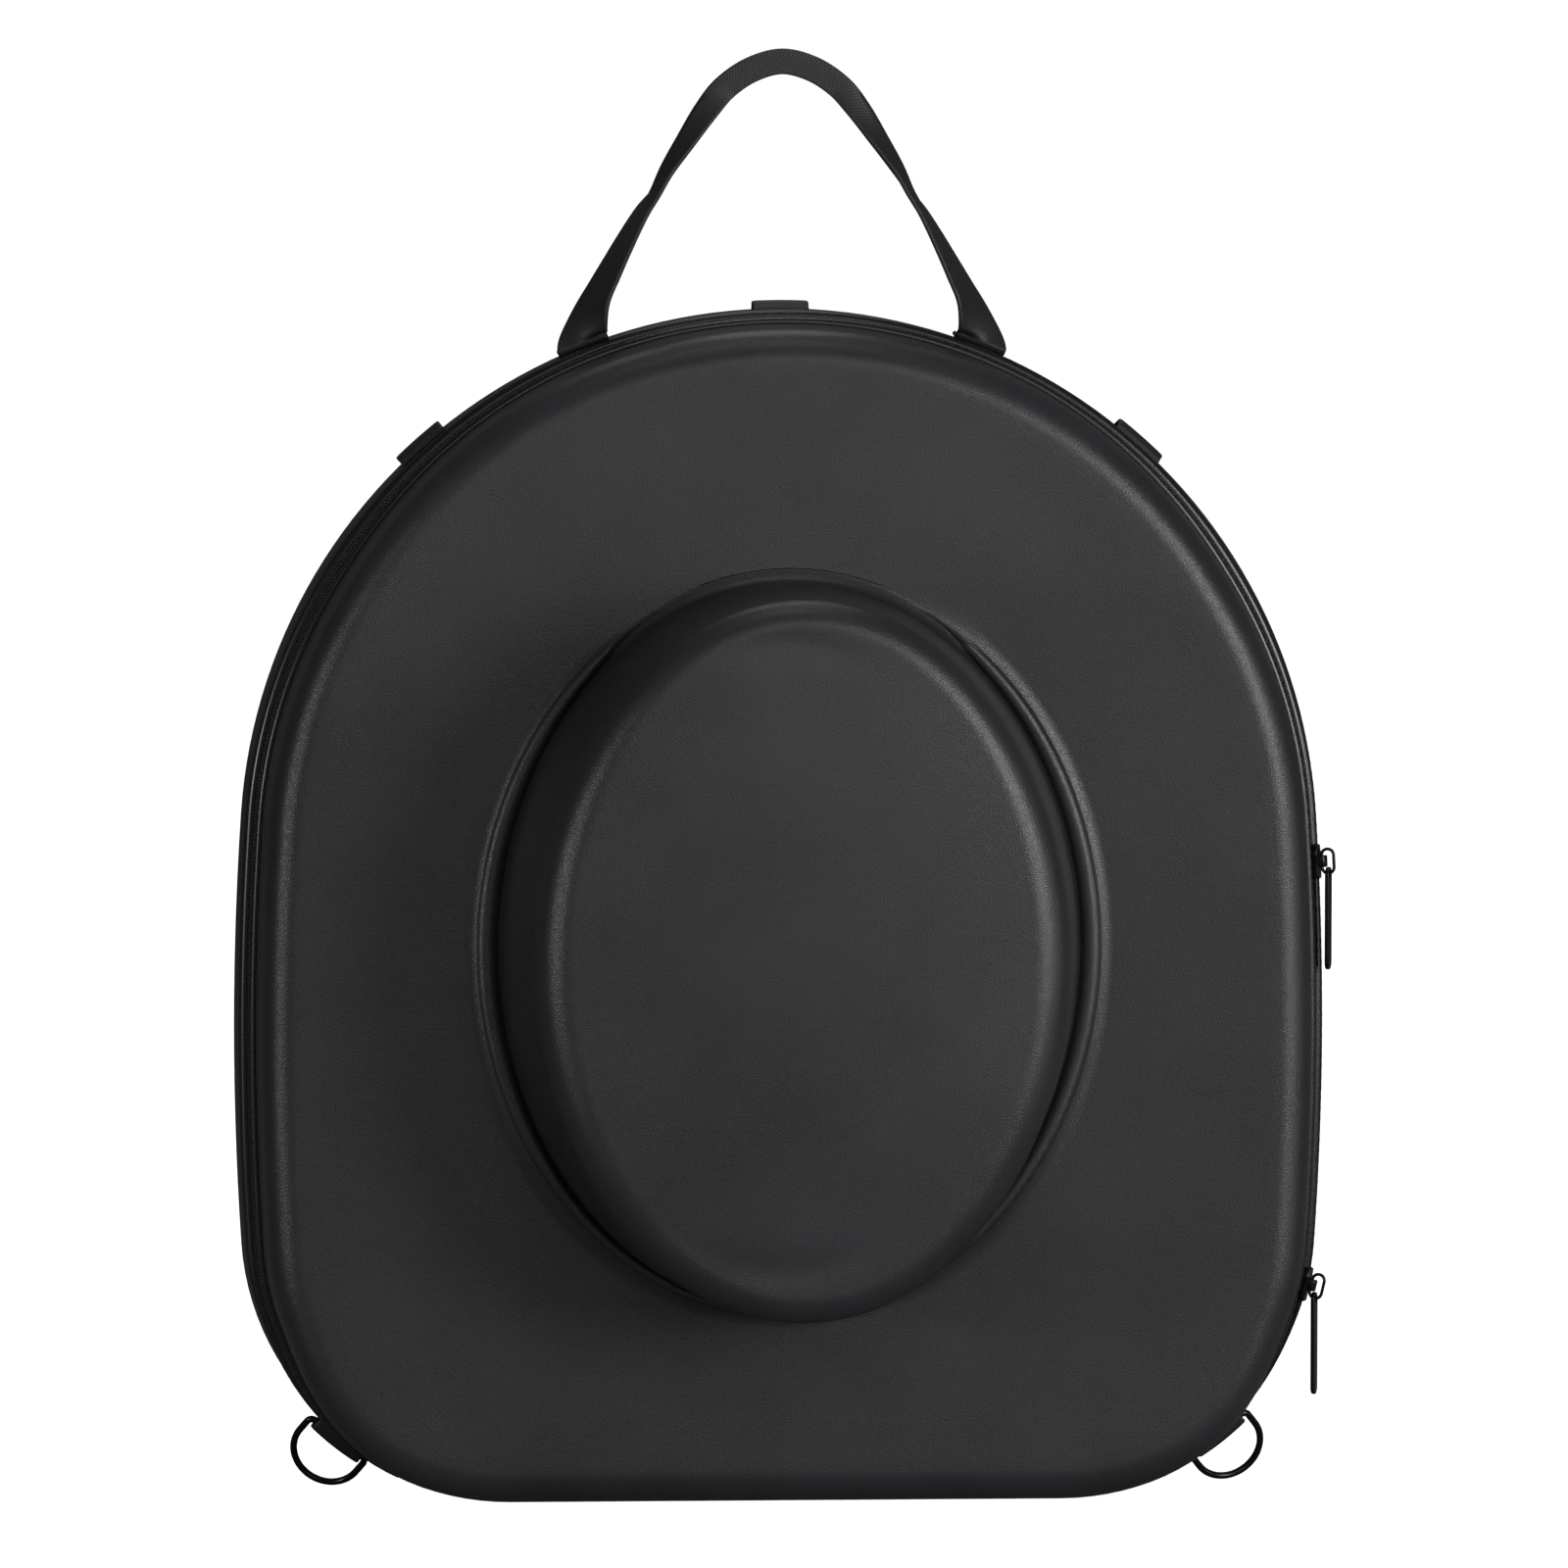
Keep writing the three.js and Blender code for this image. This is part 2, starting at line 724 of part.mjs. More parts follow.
// A section of the webbing: flat, or folded along its middle so that both halves hang down
function webbingSection({ centre, wide, face, fold }) {
  const half = handleWidth / 2;
  const ridge = handleThickness / 2 + clearance;
  const line = [-half, -ridge, ridge, half].map((across) => {
    const side = Math.sign(across);
    const past = Math.abs(across) - ridge;
    const bend = past > 0 ? fold : fold / 2;
    const spread = handleThickness / 2 / (past > 0 ? 1 : Math.cos(bend));
    return {
      across: side * (ridge + past * Math.cos(fold)),
      drop: past * Math.sin(fold),
      outAcross: side * Math.sin(bend) * spread,
      outFace: Math.cos(bend) * spread,
    };
  });
  const place = (point, side) => centre.clone()
    .addScaledVector(wide, point.across + side * point.outAcross)
    .addScaledVector(face, side * point.outFace - point.drop);
  return [...line.map((point) => place(point, 1)), ...line.reverse().map((point) => place(point, -1))];
}

function carryHandle() {
  const footOut = clearance + handleThickness / 2;
  const rise = footOut + handleBend;
  const depth = handleFootFront - handleBend;
  const footAt = (side) => topMiddle + side * topRadius * handleFootDegrees * degree;
  const away = (side) => outlineAt(footAt(side)).tangent.multiplyScalar(side);

  // The foot lies on the wall with its face down, comes forward and bends up behind the rim
  const foot = (side) => {
    const place = outlineAt(footAt(side));
    const wide = away(side);
    const flat = [handleFootBack, handleFootFront + handleBend].map((y) => ({
      centre: onWall(footAt(side), y, footOut),
      wide,
      face: place.normal.clone().negate(),
      fold: 0,
    }));
    const bend = [0, 30, 60].map((angle) => {
      const turn = angle * degree;
      const y = handleFootFront - handleBend * Math.sin(turn);
      const face = place.normal.clone().multiplyScalar(-Math.cos(turn));
      face.addScaledVector(back, -Math.sin(turn));
      const centre = onWall(footAt(side), y, footOut + handleBend * (1 - Math.cos(turn)));
      return { centre, wide, face, fold: 0 };
    });
    return [...flat, ...bend];
  };

  const base = onWall(footAt(1), depth, rise);
  const gripDrop = handleWidth / 2 - handleThickness / 2 - clearance;
  const topCentre = handleTop - handleThickness / 2 - gripDrop / 2;
  const mirrored = [
    ...handleRows.map((row) => ({ ...row, side: 1 })),
    ...handleRows.slice(0, -1).reverse().map((row) => ({ ...row, side: -1 })),
  ];
  const route = new THREE.CatmullRomCurve3(mirrored.map((row) => new THREE.Vector3(
    row.side * base.x * row.out,
    depth,
    THREE.MathUtils.lerp(base.z, topCentre, row.up),
  )));
  const forms = new THREE.CatmullRomCurve3(mirrored.map((row) => (
    new THREE.Vector3(row.turn, row.fold, row.skew)
  )));
  const steps = 2 * (mirrored.length - 1);
  const stations = [];
  for (let step = 0; step <= steps; step += 1) {
    const share = step / steps;
    const tangent = route.getTangent(share);
    const form = forms.getPoint(share);
    const turn = THREE.MathUtils.clamp(form.x, 0, 1) * 90 * degree;
    const fold = THREE.MathUtils.clamp(form.y, 0, 1) * 90 * degree;
    const skew = THREE.MathUtils.clamp(form.z, 0, 1);
    const outward = new THREE.Vector3(-tangent.z, 0, tangent.x);
    outward.lerp(away(share < 0.5 ? 1 : -1), skew).normalize();
    const wide = outward.clone().multiplyScalar(Math.cos(turn)).addScaledVector(back, Math.sin(turn));
    const face = outward.clone().multiplyScalar(Math.sin(turn)).addScaledVector(back, -Math.cos(turn));
    const centre = route.getPoint(share).addScaledVector(face, gripDrop * Math.sin(fold) / 2);
    stations.push({ centre, wide, face, fold });
  }
  const rows = [...foot(1), ...stations, ...foot(-1).reverse()];
  return skin(rows.map(webbingSection));
}

const hatCase = new THREE.Group();
addPiece(hatCase, "front_shell", frontShell(), "shell");
addPiece(hatCase, "back_shell", backShell(), "shell");
addPiece(hatCase, "front_binding", binding(-1), "binding");
addPiece(hatCase, "back_binding", binding(1), "binding");

const tapeHalf = rimDepth - clearance;
const tape = flatBand(tapeHalf, -tapeSink, tapeThickness, zipStart, zipStop);
addPiece(hatCase, "zip_tape", tape, "webbing");
addPiece(hatCase, "zip_coil", zipCoil(), "coil");
addPiece(hatCase, "hinge_strip", flatBand(tapeHalf, 0, hingeThickness, -zipEnd, zipEnd), "webbing");
const sideRadius = sideRun / (2 * bow);
const upperHeading = Math.acos(Math.sin(bow) - (upperSliderHeight - sideFoot) / sideRadius);
addSlider(hatCase, "upper", halfFlat + cornerRun + sideRadius * (upperHeading - cornerTurn));
addSlider(hatCase, "lower", halfFlat + cornerRadius * lowerSliderDegrees * degree);

addPiece(hatCase, "carry_handle", carryHandle(), "webbing");
addPiece(hatCase, "top_tab", tab(topMiddle, tabFront, tabLift), "webbing");
for (const [name, side] of [["left", 1], ["right", -1]]) {
  const shoulder = topMiddle + side * topRadius * sideTabDegrees * degree;
  const corner = side * (halfFlat + cornerRadius * ringTabDegrees * degree);
  const ringSpot = (outlineRun - corner) % outlineRun;
  const roundness = tabWidth * tabWidth / (8 * cornerRadius);
  const ringLift = ringPlay + ringWire + clearance + roundness;
  addPiece(hatCase, `${name}_tab`, tab(shoulder, tabFront, tabLift), "webbing");
  addPiece(hatCase, `${name}_ring_tab`, tab(ringSpot, ringTabFront, ringLift), "webbing");
  addPiece(hatCase, `${name}_ring`, dRing(ringSpot), "metal");
}

export default hatCase;
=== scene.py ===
import math

import bmesh
import bpy
from mathutils import Matrix, Vector, noise


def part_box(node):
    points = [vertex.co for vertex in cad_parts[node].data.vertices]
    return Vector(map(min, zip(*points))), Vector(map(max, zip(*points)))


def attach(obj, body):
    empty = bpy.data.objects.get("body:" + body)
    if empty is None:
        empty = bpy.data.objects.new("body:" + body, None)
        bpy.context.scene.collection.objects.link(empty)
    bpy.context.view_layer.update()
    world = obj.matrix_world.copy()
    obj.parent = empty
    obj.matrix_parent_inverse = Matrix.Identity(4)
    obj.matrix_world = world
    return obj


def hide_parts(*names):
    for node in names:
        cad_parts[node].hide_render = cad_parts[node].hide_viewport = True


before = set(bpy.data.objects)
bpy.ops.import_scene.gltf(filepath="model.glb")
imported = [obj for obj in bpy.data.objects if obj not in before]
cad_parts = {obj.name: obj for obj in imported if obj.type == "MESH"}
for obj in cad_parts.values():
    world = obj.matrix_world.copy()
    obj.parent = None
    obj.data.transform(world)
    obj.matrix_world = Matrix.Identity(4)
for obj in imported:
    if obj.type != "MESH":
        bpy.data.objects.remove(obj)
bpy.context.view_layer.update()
print("frame loaded")

mm = 0.001
backWay = Vector((0, 1, 0))
upWay = Vector((0, 0, 1))


# The case's outline and depths, from the frame's boxes and a few sizes of its own

backLow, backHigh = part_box("back_shell")
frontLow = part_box("front_shell")[0]

caseShape = {
    "width": backHigh.x - backLow.x,
    "height": backHigh.z,
    "cornerRadius": 105 * mm,
    "sideBow": math.radians(3.8),
    "rimDepth": backLow.y,
    "frontDepth": 40 * mm,
    "frontWall": 3 * mm,
    "frontRound": 13 * mm,
    "frontRimInset": 7.2 * mm,
    "frontDraft": 1.6 * mm,
    "backDepth": backHigh.y,
    "backWall": 4.5 * mm,
    "backRound": 12 * mm,
    "backRimInset": 4.2 * mm,
    "gap": 0.3 * mm,  # room between two pieces that only touch
}

domeShape = {
    "width": 248 * mm,
    "tall": 296 * mm,
    "centreHeight": 222 * mm,
    "height": 95 * mm,
    "sideRound": 16 * mm,
    "sideDraft": 9 * mm,
    "endRound": 11 * mm,
    "endDraft": 2.5 * mm,
    "faceLift": 3 * mm,
    "topFillet": 5 * mm,
    "filletFrom": 0.8,
    "filletFull": 0.97,
    "crowning": -frontLow.y - 135 * mm,
    "weltWidth": 8.5 * mm,
    "weltHeight": 2.4 * mm,
    "weltEndWidth": 3 * mm,
    "weltEndHeight": 0.6 * mm,
    "footShare": 1.1,
}

# each long side is a shallow arc that leans out by the bow at its foot and in by it at its top
bow = caseShape["sideBow"]
bowSlope = math.tan(bow / 2)
topShare = math.tan(math.pi / 4 - bow / 2)
sideFoot = caseShape["cornerRadius"] * (1 - math.sin(bow))
roundAbove = topShare * caseShape["width"] / 2
sideHeight = (caseShape["height"] - sideFoot - roundAbove) / (1 - topShare * bowSlope / 2)
sideEndWidth = caseShape["width"] / 2 - sideHeight * bowSlope / 2
topRadius = sideEndWidth / math.cos(bow)
halfFlat = sideEndWidth - caseShape["cornerRadius"] * math.cos(bow)
sideRun = sideHeight * bow / math.sin(bow)
sideRadius = sideRun / (2 * bow)
cornerTurn = math.pi / 2 - bow
cornerRun = caseShape["cornerRadius"] * cornerTurn

# run, turn and steps of each leg, walked from the middle of the bottom
outlineLegs = [
    (halfFlat, 0, 10),
    (cornerRun, cornerTurn, 26),
    (sideRun, 2 * bow, 14),
    (topRadius * 2 * cornerTurn, 2 * cornerTurn, 96),
    (sideRun, 2 * bow, 14),
    (cornerRun, cornerTurn, 26),
    (halfFlat, 0, 10),
]
outlineRun = sum(leg[0] for leg in outlineLegs)
topMiddle = outlineRun / 2


def outlineAt(distance):
    # the point, outward normal and forward tangent at a distance along the outline
    spot = Vector((0, 0, 0))
    heading = 0.0
    left = distance % outlineRun
    for run, turn, steps in outlineLegs:
        part = min(left, run)
        bend = turn * part / run
        if turn == 0:
            spot += Vector((math.cos(heading), 0, math.sin(heading))) * part
        else:
            radius = run / turn
            spot.x += radius * (math.sin(heading + bend) - math.sin(heading))
            spot.z += radius * (math.cos(heading) - math.cos(heading + bend))
        heading += bend
        left -= part
        if left <= 0:
            break
    tangent = Vector((math.cos(heading), 0, math.sin(heading)))
    normal = Vector((math.sin(heading), 0, -math.cos(heading)))
    return spot, normal, tangent


def outlineStops():
    # the distances where the shells have a column of points, first one given again at the end
    stops = []
    start = 0.0
    for run, turn, steps in outlineLegs:
        stops += [start + run * step / steps for step in range(steps)]
        start += run
    return stops + [outlineRun]


def evenStops(start, end, spacing):
    steps = max(1, round((end - start) / spacing))
    return [start + (end - start) * step / steps for step in range(steps + 1)]


def smoothShare(low, high, value):
    share = min(1.0, max(0.0, (value - low) / (high - low)))
    return share * share * (3 - 2 * share)


def leanShare(normal):
    # the walls lean in at the sides, less so at the top, and stand upright at the flat bottom
    return smoothShare(-0.95, -0.35, normal.z) * (1 - 0.5 * smoothShare(0.5, 1, normal.z))


def wallInset(y):
    # how far the outer wall stands inside the outline at a depth: leaning part and plain part
    shape = caseShape
    if y <= 0:
        straight = shape["frontDepth"] - shape["frontRound"]
        share = (-y - shape["rimDepth"]) / (straight - shape["rimDepth"])
        lean = shape["frontRimInset"] + shape["frontDraft"] * min(1, max(share, 0))
        radius = shape["frontRound"]
    else:
        straight = shape["backDepth"] - shape["backRound"]
        share = (y - shape["rimDepth"]) / (straight - shape["rimDepth"])
        lean = shape["backRimInset"] * (1 - min(1, max(share, 0))) ** 2
        radius = shape["backRound"]
    if abs(y) < shape["rimDepth"]:
        share = (y / shape["rimDepth"] + 1) / 2
        lean = shape["frontRimInset"] * (1 - share) + shape["backRimInset"] * share
    past = min(1, max(0, (abs(y) - straight) / radius))
    return lean, radius * (1 - math.sqrt(1 - past * past))


def onWall(distance, y, out):
    spot, normal, tangent = outlineAt(distance)
    lean, plain = wallInset(y)
    point = spot - normal * (lean * leanShare(normal) + plain - out)
    point.y = y
    return point


def domePoint(way, sideInset, endInset, height, endHeight, lowest=0.0):
    # a point of the dome's oval in a direction from its centre, with an inset and a height of its
    # own at the two sides and above and below; at the top the foot is a hollow fillet
    shape = domeShape
    filletShare = smoothShare(shape["filletFrom"], shape["filletFull"], way.z)
    hollow = min(1.0, max(0.0, 1 - (height - lowest) / shape["topFillet"]))
    spread = filletShare * shape["topFillet"] * (1 - math.sqrt(1 - hollow ** 2))
    across = way.x / (shape["width"] / 2 - sideInset + spread)
    along = way.z / (shape["tall"] / 2 - endInset + spread)
    point = Vector((0, 0, shape["centreHeight"])) + way / math.hypot(across, along)
    point.z += shape["faceLift"] * smoothShare(0, shape["height"], height)
    sideShare = smoothShare(0.15, 0.75, abs(way.x))
    if height < shape["weltHeight"] and lowest == 0:
        height *= 1 - filletShare
        endHeight *= 1 - filletShare
    point.y = -caseShape["frontDepth"] - endHeight - (height - endHeight) * sideShare
    return point


# Mesh making

def pieceFrom(bm, name, material, nodes=(), sharpDegrees=40):
    mesh = bpy.data.meshes.new(name)
    bm.to_mesh(mesh)
    bm.free()
    for polygon in mesh.polygons:
        polygon.use_smooth = True
    mesh.set_sharp_from_angle(angle=math.radians(sharpDegrees))
    mesh.materials.append(material)
    piece = bpy.data.objects.new(name, mesh)
    bpy.context.scene.collection.objects.link(piece)
    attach(piece, "root")
    if nodes:
        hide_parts(*nodes)
    return piece


def loftGrid(columns, rows, pointAt, uvAt=None):
    # a grid laid over columns and rows, its seams and poles welded shut
    bm = bmesh.new()
    uvLayer = bm.loops.layers.uv.new("UVMap")
    across = len(columns) - 1
    along = len(rows) - 1
    bmesh.ops.create_grid(bm, x_segments=across, y_segments=along, size=0.5)
    places = {}
    for vert in bm.verts:
        i = round((vert.co.x + 0.5) * across)
        j = round((vert.co.y + 0.5) * along)
        places[vert] = (columns[i], rows[j])
    if uvAt:
        for face in bm.faces:
            for loop in face.loops:
                loop[uvLayer].uv = uvAt(*places[loop.vert])
    for vert, (column, row) in places.items():
        vert.co = pointAt(column, row)
    bmesh.ops.remove_doubles(bm, verts=bm.verts[:], dist=0.002 * mm)
    return bm


def closeEnds(bm):
    edges = [edge for edge in bm.edges if edge.is_boundary]
    if edges:
        bmesh.ops.holes_fill(bm, edges=edges, sides=0)
    bmesh.ops.recalc_face_normals(bm, faces=bm.faces[:])


# Shader groups

def startGroup(name, inputs, outputs):
    tree = bpy.data.node_groups.new(name, "ShaderNodeTree")
    for socketName, kind, value in inputs:
        socket = tree.interface.new_socket(socketName, in_out="INPUT", socket_type=kind)
        if value is not None:
            socket.default_value = value
    for socketName, kind in outputs:
        tree.interface.new_socket(socketName, in_out="OUTPUT", socket_type=kind)
    return tree, tree.nodes.new("NodeGroupInput"), tree.nodes.new("NodeGroupOutput")


def mathNode(tree, operation, first, second=None, third=None):
    node = tree.nodes.new("ShaderNodeMath")
    node.operation = operation
    for socket, value in zip(node.inputs, (first, second, third)):
        if value is None:
            continue
        if isinstance(value, (int, float)):
            socket.default_value = value
        else:
            tree.links.new(value, socket)
    return node.outputs[0]


def scaledPlace(tree, place, factor):
    node = tree.nodes.new("ShaderNodeVectorMath")
    node.operation = "SCALE"
    tree.links.new(place, node.inputs[0])
    if isinstance(factor, (int, float)):
        node.inputs["Scale"].default_value = factor
    else:
        tree.links.new(factor, node.inputs["Scale"])
    return node.outputs[0]


def noiseNode(tree, place, scale, detail, roughness=0.5):
    node = tree.nodes.new("ShaderNodeTexNoise")
    tree.links.new(place, node.inputs["Vector"])
    node.inputs["Scale"].default_value = scale
    node.inputs["Detail"].default_value = detail
    node.inputs["Roughness"].default_value = roughness
    return node.outputs["Fac"]


def mapNode(tree, value, fromLow, fromHigh, toLow, toHigh):
    node = tree.nodes.new("ShaderNodeMapRange")
    tree.links.new(value, node.inputs["Value"])
    for name, number in (("From Min", fromLow), ("From Max", fromHigh),
                         ("To Min", toLow), ("To Max", toHigh)):
        node.inputs[name].default_value = number
    return node.outputs["Result"]


def makeLeatherGrain():
    # pebbled grain: soft cells with creases between them, and slow clouds of tone
    tree, enter, leave = startGroup(
        "leatherGrain",
        [("Place", "NodeSocketVector", None), ("Cells per metre", "NodeSocketFloat", 900.0)],
        [("Height", "NodeSocketFloat"), ("Clouds", "NodeSocketFloat")],
    )
    place = enter.outputs["Place"]
    grainPlace = scaledPlace(tree, place, enter.outputs["Cells per metre"])
    cells = tree.nodes.new("ShaderNodeTexVoronoi")
    cells.feature = "DISTANCE_TO_EDGE"
    cells.inputs["Scale"].default_value = 1.0
    cells.inputs["Randomness"].default_value = 0.9
    tree.links.new(grainPlace, cells.inputs["Vector"])
    pebble = mapNode(tree, cells.outputs["Distance"], 0.0, 0.35, 0.0, 1.0)
    fine = noiseNode(tree, grainPlace, 1.3, 3.0, 0.6)
    height = mathNode(tree, "MULTIPLY_ADD", fine, 0.5, pebble)
    tree.links.new(height, leave.inputs["Height"])
    clouds = noiseNode(tree, place, 14.0, 4.0, 0.55)
    tree.links.new(clouds, leave.inputs["Clouds"])
    return tree


def makeWebbingWeave():
    # ribs across the webbing, each stepped by half a rib from one yarn to the next; the colour share mixes
    # random fuzz tone with painted shade, lighter on the rib tops and darker in the grooves
    tree, enter, leave = startGroup(
        "webbingWeave",
        [("Place", "NodeSocketVector", None), ("Rib", "NodeSocketFloat", 1.3 * mm),
         ("Yarn", "NodeSocketFloat", 0.9 * mm)],
        [("Height", "NodeSocketFloat"), ("Fuzz and groove shade", "NodeSocketFloat")],
    )
    split = tree.nodes.new("ShaderNodeSeparateXYZ")
    tree.links.new(enter.outputs["Place"], split.inputs[0])
    lengthways = mathNode(tree, "DIVIDE", split.outputs["X"], enter.outputs["Rib"])
    sideways = mathNode(tree, "DIVIDE", split.outputs["Y"], enter.outputs["Yarn"])
    yarnNumber = mathNode(tree, "FLOOR", sideways)
    stepped = mathNode(tree, "MULTIPLY_ADD", yarnNumber, 0.5, lengthways)
    rib = mathNode(tree, "SINE", mathNode(tree, "MULTIPLY", stepped, 2 * math.pi))
    ribHeight = mathNode(tree, "MULTIPLY_ADD", rib, 0.5, 0.5)
    inYarn = mathNode(tree, "SUBTRACT", sideways, yarnNumber)
    yarnHeight = mathNode(tree, "SINE", mathNode(tree, "MULTIPLY", inYarn, math.pi))
    height = mathNode(tree, "MULTIPLY", ribHeight, yarnHeight)
    tree.links.new(height, leave.inputs["Height"])
    fuzz = noiseNode(tree, enter.outputs["Place"], 700.0, 3.0)
    # painted shade: the weave's height makes the colour lighter on the rib tops and darker in the grooves,
    # mixed half and half with random fuzz tone
    fuzzAndGrooveShade = mathNode(tree, "MULTIPLY_ADD", fuzz, 0.5, mathNode(tree, "MULTIPLY", height, 0.5))
    tree.links.new(fuzzAndGrooveShade, leave.inputs["Fuzz and groove shade"])
    return tree


leatherGrain = makeLeatherGrain()
webbingWeave = makeWebbingWeave()


# Materials

def startMaterial(name, metallic=0.0, specular=0.5):
    material = bpy.data.materials.new(name)
    material.use_nodes = True
    tree = material.node_tree
    shader = tree.nodes["Principled BSDF"]
    shader.inputs["Metallic"].default_value = metallic
    shader.inputs["Specular IOR Level"].default_value = specular
    return material, tree, shader


def placeOutput(tree, kind):
    return tree.nodes.new("ShaderNodeTexCoord").outputs[kind]


def groupNode(tree, group, place, **values):
    node = tree.nodes.new("ShaderNodeGroup")
    node.node_tree = group
    tree.links.new(place, node.inputs["Place"])
    for name, value in values.items():
        node.inputs[name.replace("_", " ")].default_value = value
    return node


def colourBetween(tree, share, dark, light):
    ramp = tree.nodes.new("ShaderNodeValToRGB")
    ramp.color_ramp.elements[0].color = (*dark, 1)
    ramp.color_ramp.elements[1].color = (*light, 1)
    tree.links.new(share, ramp.inputs["Fac"])
    return ramp.outputs["Color"]


def bumpInto(tree, shader, height, strength, distance):
    bump = tree.nodes.new("ShaderNodeBump")
    bump.inputs["Strength"].default_value = strength
    bump.inputs["Distance"].default_value = distance
    tree.links.new(height, bump.inputs["Height"])
    tree.links.new(bump.outputs["Normal"], shader.inputs["Normal"])


def leatherMaterial(name, dark, light, roughLow, roughHigh, cells, depth):
    material, tree, shader = startMaterial(name, specular=0.45)
    grain = groupNode(tree, leatherGrain, placeOutput(tree, "Object"), Cells_per_metre=cells)
    clouds = mapNode(tree, grain.outputs["Clouds"], 0.3, 0.7, 0.0, 1.0)
    tree.links.new(colourBetween(tree, clouds, dark, light), shader.inputs["Base Color"])
    rough = mapNode(tree, grain.outputs["Height"], 0.0, 1.4, roughHigh, roughLow)
    tree.links.new(rough, shader.inputs["Roughness"])
    bumpInto(tree, shader, grain.outputs["Height"], 0.5, depth)
    return material


def webbingMaterial(name, dark, light, rib, yarn, depth):
    material, tree, shader = startMaterial(name, specular=0.5)
    weave = groupNode(tree, webbingWeave, placeOutput(tree, "UV"), Rib=rib, Yarn=yarn)
    # the colour holds the weave's painted groove shade as well as its random fuzz tone
    tree.links.new(
        colourBetween(tree, weave.outputs["Fuzz and groove shade"], dark, light), shader.inputs["Base Color"])
    rough = mapNode(tree, weave.outputs["Height"], 0.0, 1.0, 0.6, 0.4)
    tree.links.new(rough, shader.inputs["Roughness"])
    bumpInto(tree, shader, weave.outputs["Height"], 0.8, depth)
    return material


def plainMaterial(name, dark, light, metallic, roughLow, roughHigh, scale, bump=0.0):
    material, tree, shader = startMaterial(name, metallic=metallic)
    grain = noiseNode(tree, placeOutput(tree, "Object"), scale, 4.0, 0.6)
    tree.links.new(colourBetween(tree, grain, dark, light), shader.inputs["Base Color"])
    rough = mapNode(tree, grain, 0.3, 0.7, roughLow, roughHigh)
    tree.links.new(rough, shader.inputs["Roughness"])
    if bump:
        bumpInto(tree, shader, grain, 0.4, bump)
    return material


shellLeather = leatherMaterial(
    "shellLeather", (0.0165, 0.0162, 0.0183), (0.026, 0.0255, 0.0288), 0.3, 0.4, 1100.0, 0.1 * mm)
bindingLeather = leatherMaterial(
    "bindingLeather", (0.008, 0.008, 0.0088), (0.012, 0.012, 0.013), 0.22, 0.3, 1300.0, 0.015 * mm)
webbingCloth = webbingMaterial(
    "webbingCloth", (0.007, 0.007, 0.0074), (0.017, 0.017, 0.0178), 1.4 * mm, 1.05 * mm, 0.08 * mm)
tapeCloth = webbingMaterial(
    "tapeCloth", (0.006, 0.006, 0.007), (0.02, 0.02, 0.021), 0.8 * mm, 0.6 * mm, 0.12 * mm)
threadCord = plainMaterial(
    "threadCord", (0.012, 0.012, 0.013), (0.03, 0.03, 0.032), 0.0, 0.5, 0.7, 900.0)
coilPlastic = plainMaterial(
    "coilPlastic", (0.008, 0.008, 0.009), (0.014, 0.014, 0.015), 0.0, 0.32, 0.45, 400.0)
blackMetal = plainMaterial(
    "blackMetal", (0.012, 0.012, 0.013), (0.02, 0.02, 0.022), 0.75, 0.16, 0.28, 160.0)
print("materials made")


# The two shells

shellStops = outlineStops()

softShape = {
    "plateRipple": 0.5 * mm,
    "longWaves": 9,
    "shortWaves": 23,
    "dentBend": 64 * mm,
    "dentsFrom": 0.8,
    "wallCurve": 1.7,
    "faceCurve": 1.3,
    "poleGap": 0.01 * mm,
}

# soft dents in the dome's face, one under its top edge and one over its bottom edge
faceDents = [
    {"x": -5 * mm, "z": 350 * mm, "reach": 22 * mm, "width": 5 * mm, "depth": 0.8 * mm, "way": 1},
    {"x": -8 * mm, "z": 104 * mm, "reach": 28 * mm, "width": 6 * mm, "depth": 0.7 * mm, "way": -1},
]


def edgeRows(side, start, radius, lean, inset, steps):
    rows = []
    for step in range(steps + 1):
        angle = math.pi / 2 * step / steps
        rows.append({
            "y": side * (start + radius * math.sin(angle)),
            "lean": lean,
            "inset": inset + radius * (1 - math.cos(angle)),
        })
    return rows


def shellPoint(stop, row):
    spot, normal, tangent = outlineAt(stop)
    if "y" in row:
        point = spot - normal * (row["lean"] * leanShare(normal) + row["inset"])
        point.y = row["y"]
        return point
    way = spot - Vector((0, 0, domeShape["centreHeight"]))
    way.y = 0
    way.normalize()
    if "plate" in row:
        shape = caseShape
        lean = shape["frontRimInset"] + shape["frontDraft"]
        start = spot - normal * (lean * leanShare(normal) + shape["frontRound"])
        end = domePoint(way, 0, 0, 0, 0)
        end.y = 0
        point = start.lerp(end, row["plate"])
        ripple = noise.noise(point * softShape["longWaves"]) * 0.5
        ripple += noise.noise(point * softShape["shortWaves"]) * 0.25
        edge = math.sin(math.pi * row["plate"])
        point.y = row["depth"] - softShape["plateRipple"] * ripple * edge
        return point
    point = domePoint(way, *row["dome"])
    if row["dome"][2] > softShape["dentsFrom"] * domeShape["height"]:
        point.y += faceDent(point)
    return point


def faceDent(point):
    total = 0.0
    for dent in faceDents:
        across = point.x - dent["x"]
        middle = dent["z"] - dent["way"] * across ** 2 / (2 * softShape["dentBend"])
        along = (point.z - middle) / dent["width"]
        total += dent["depth"] * math.exp(-(across / dent["reach"]) ** 2 - along ** 2)
    return total


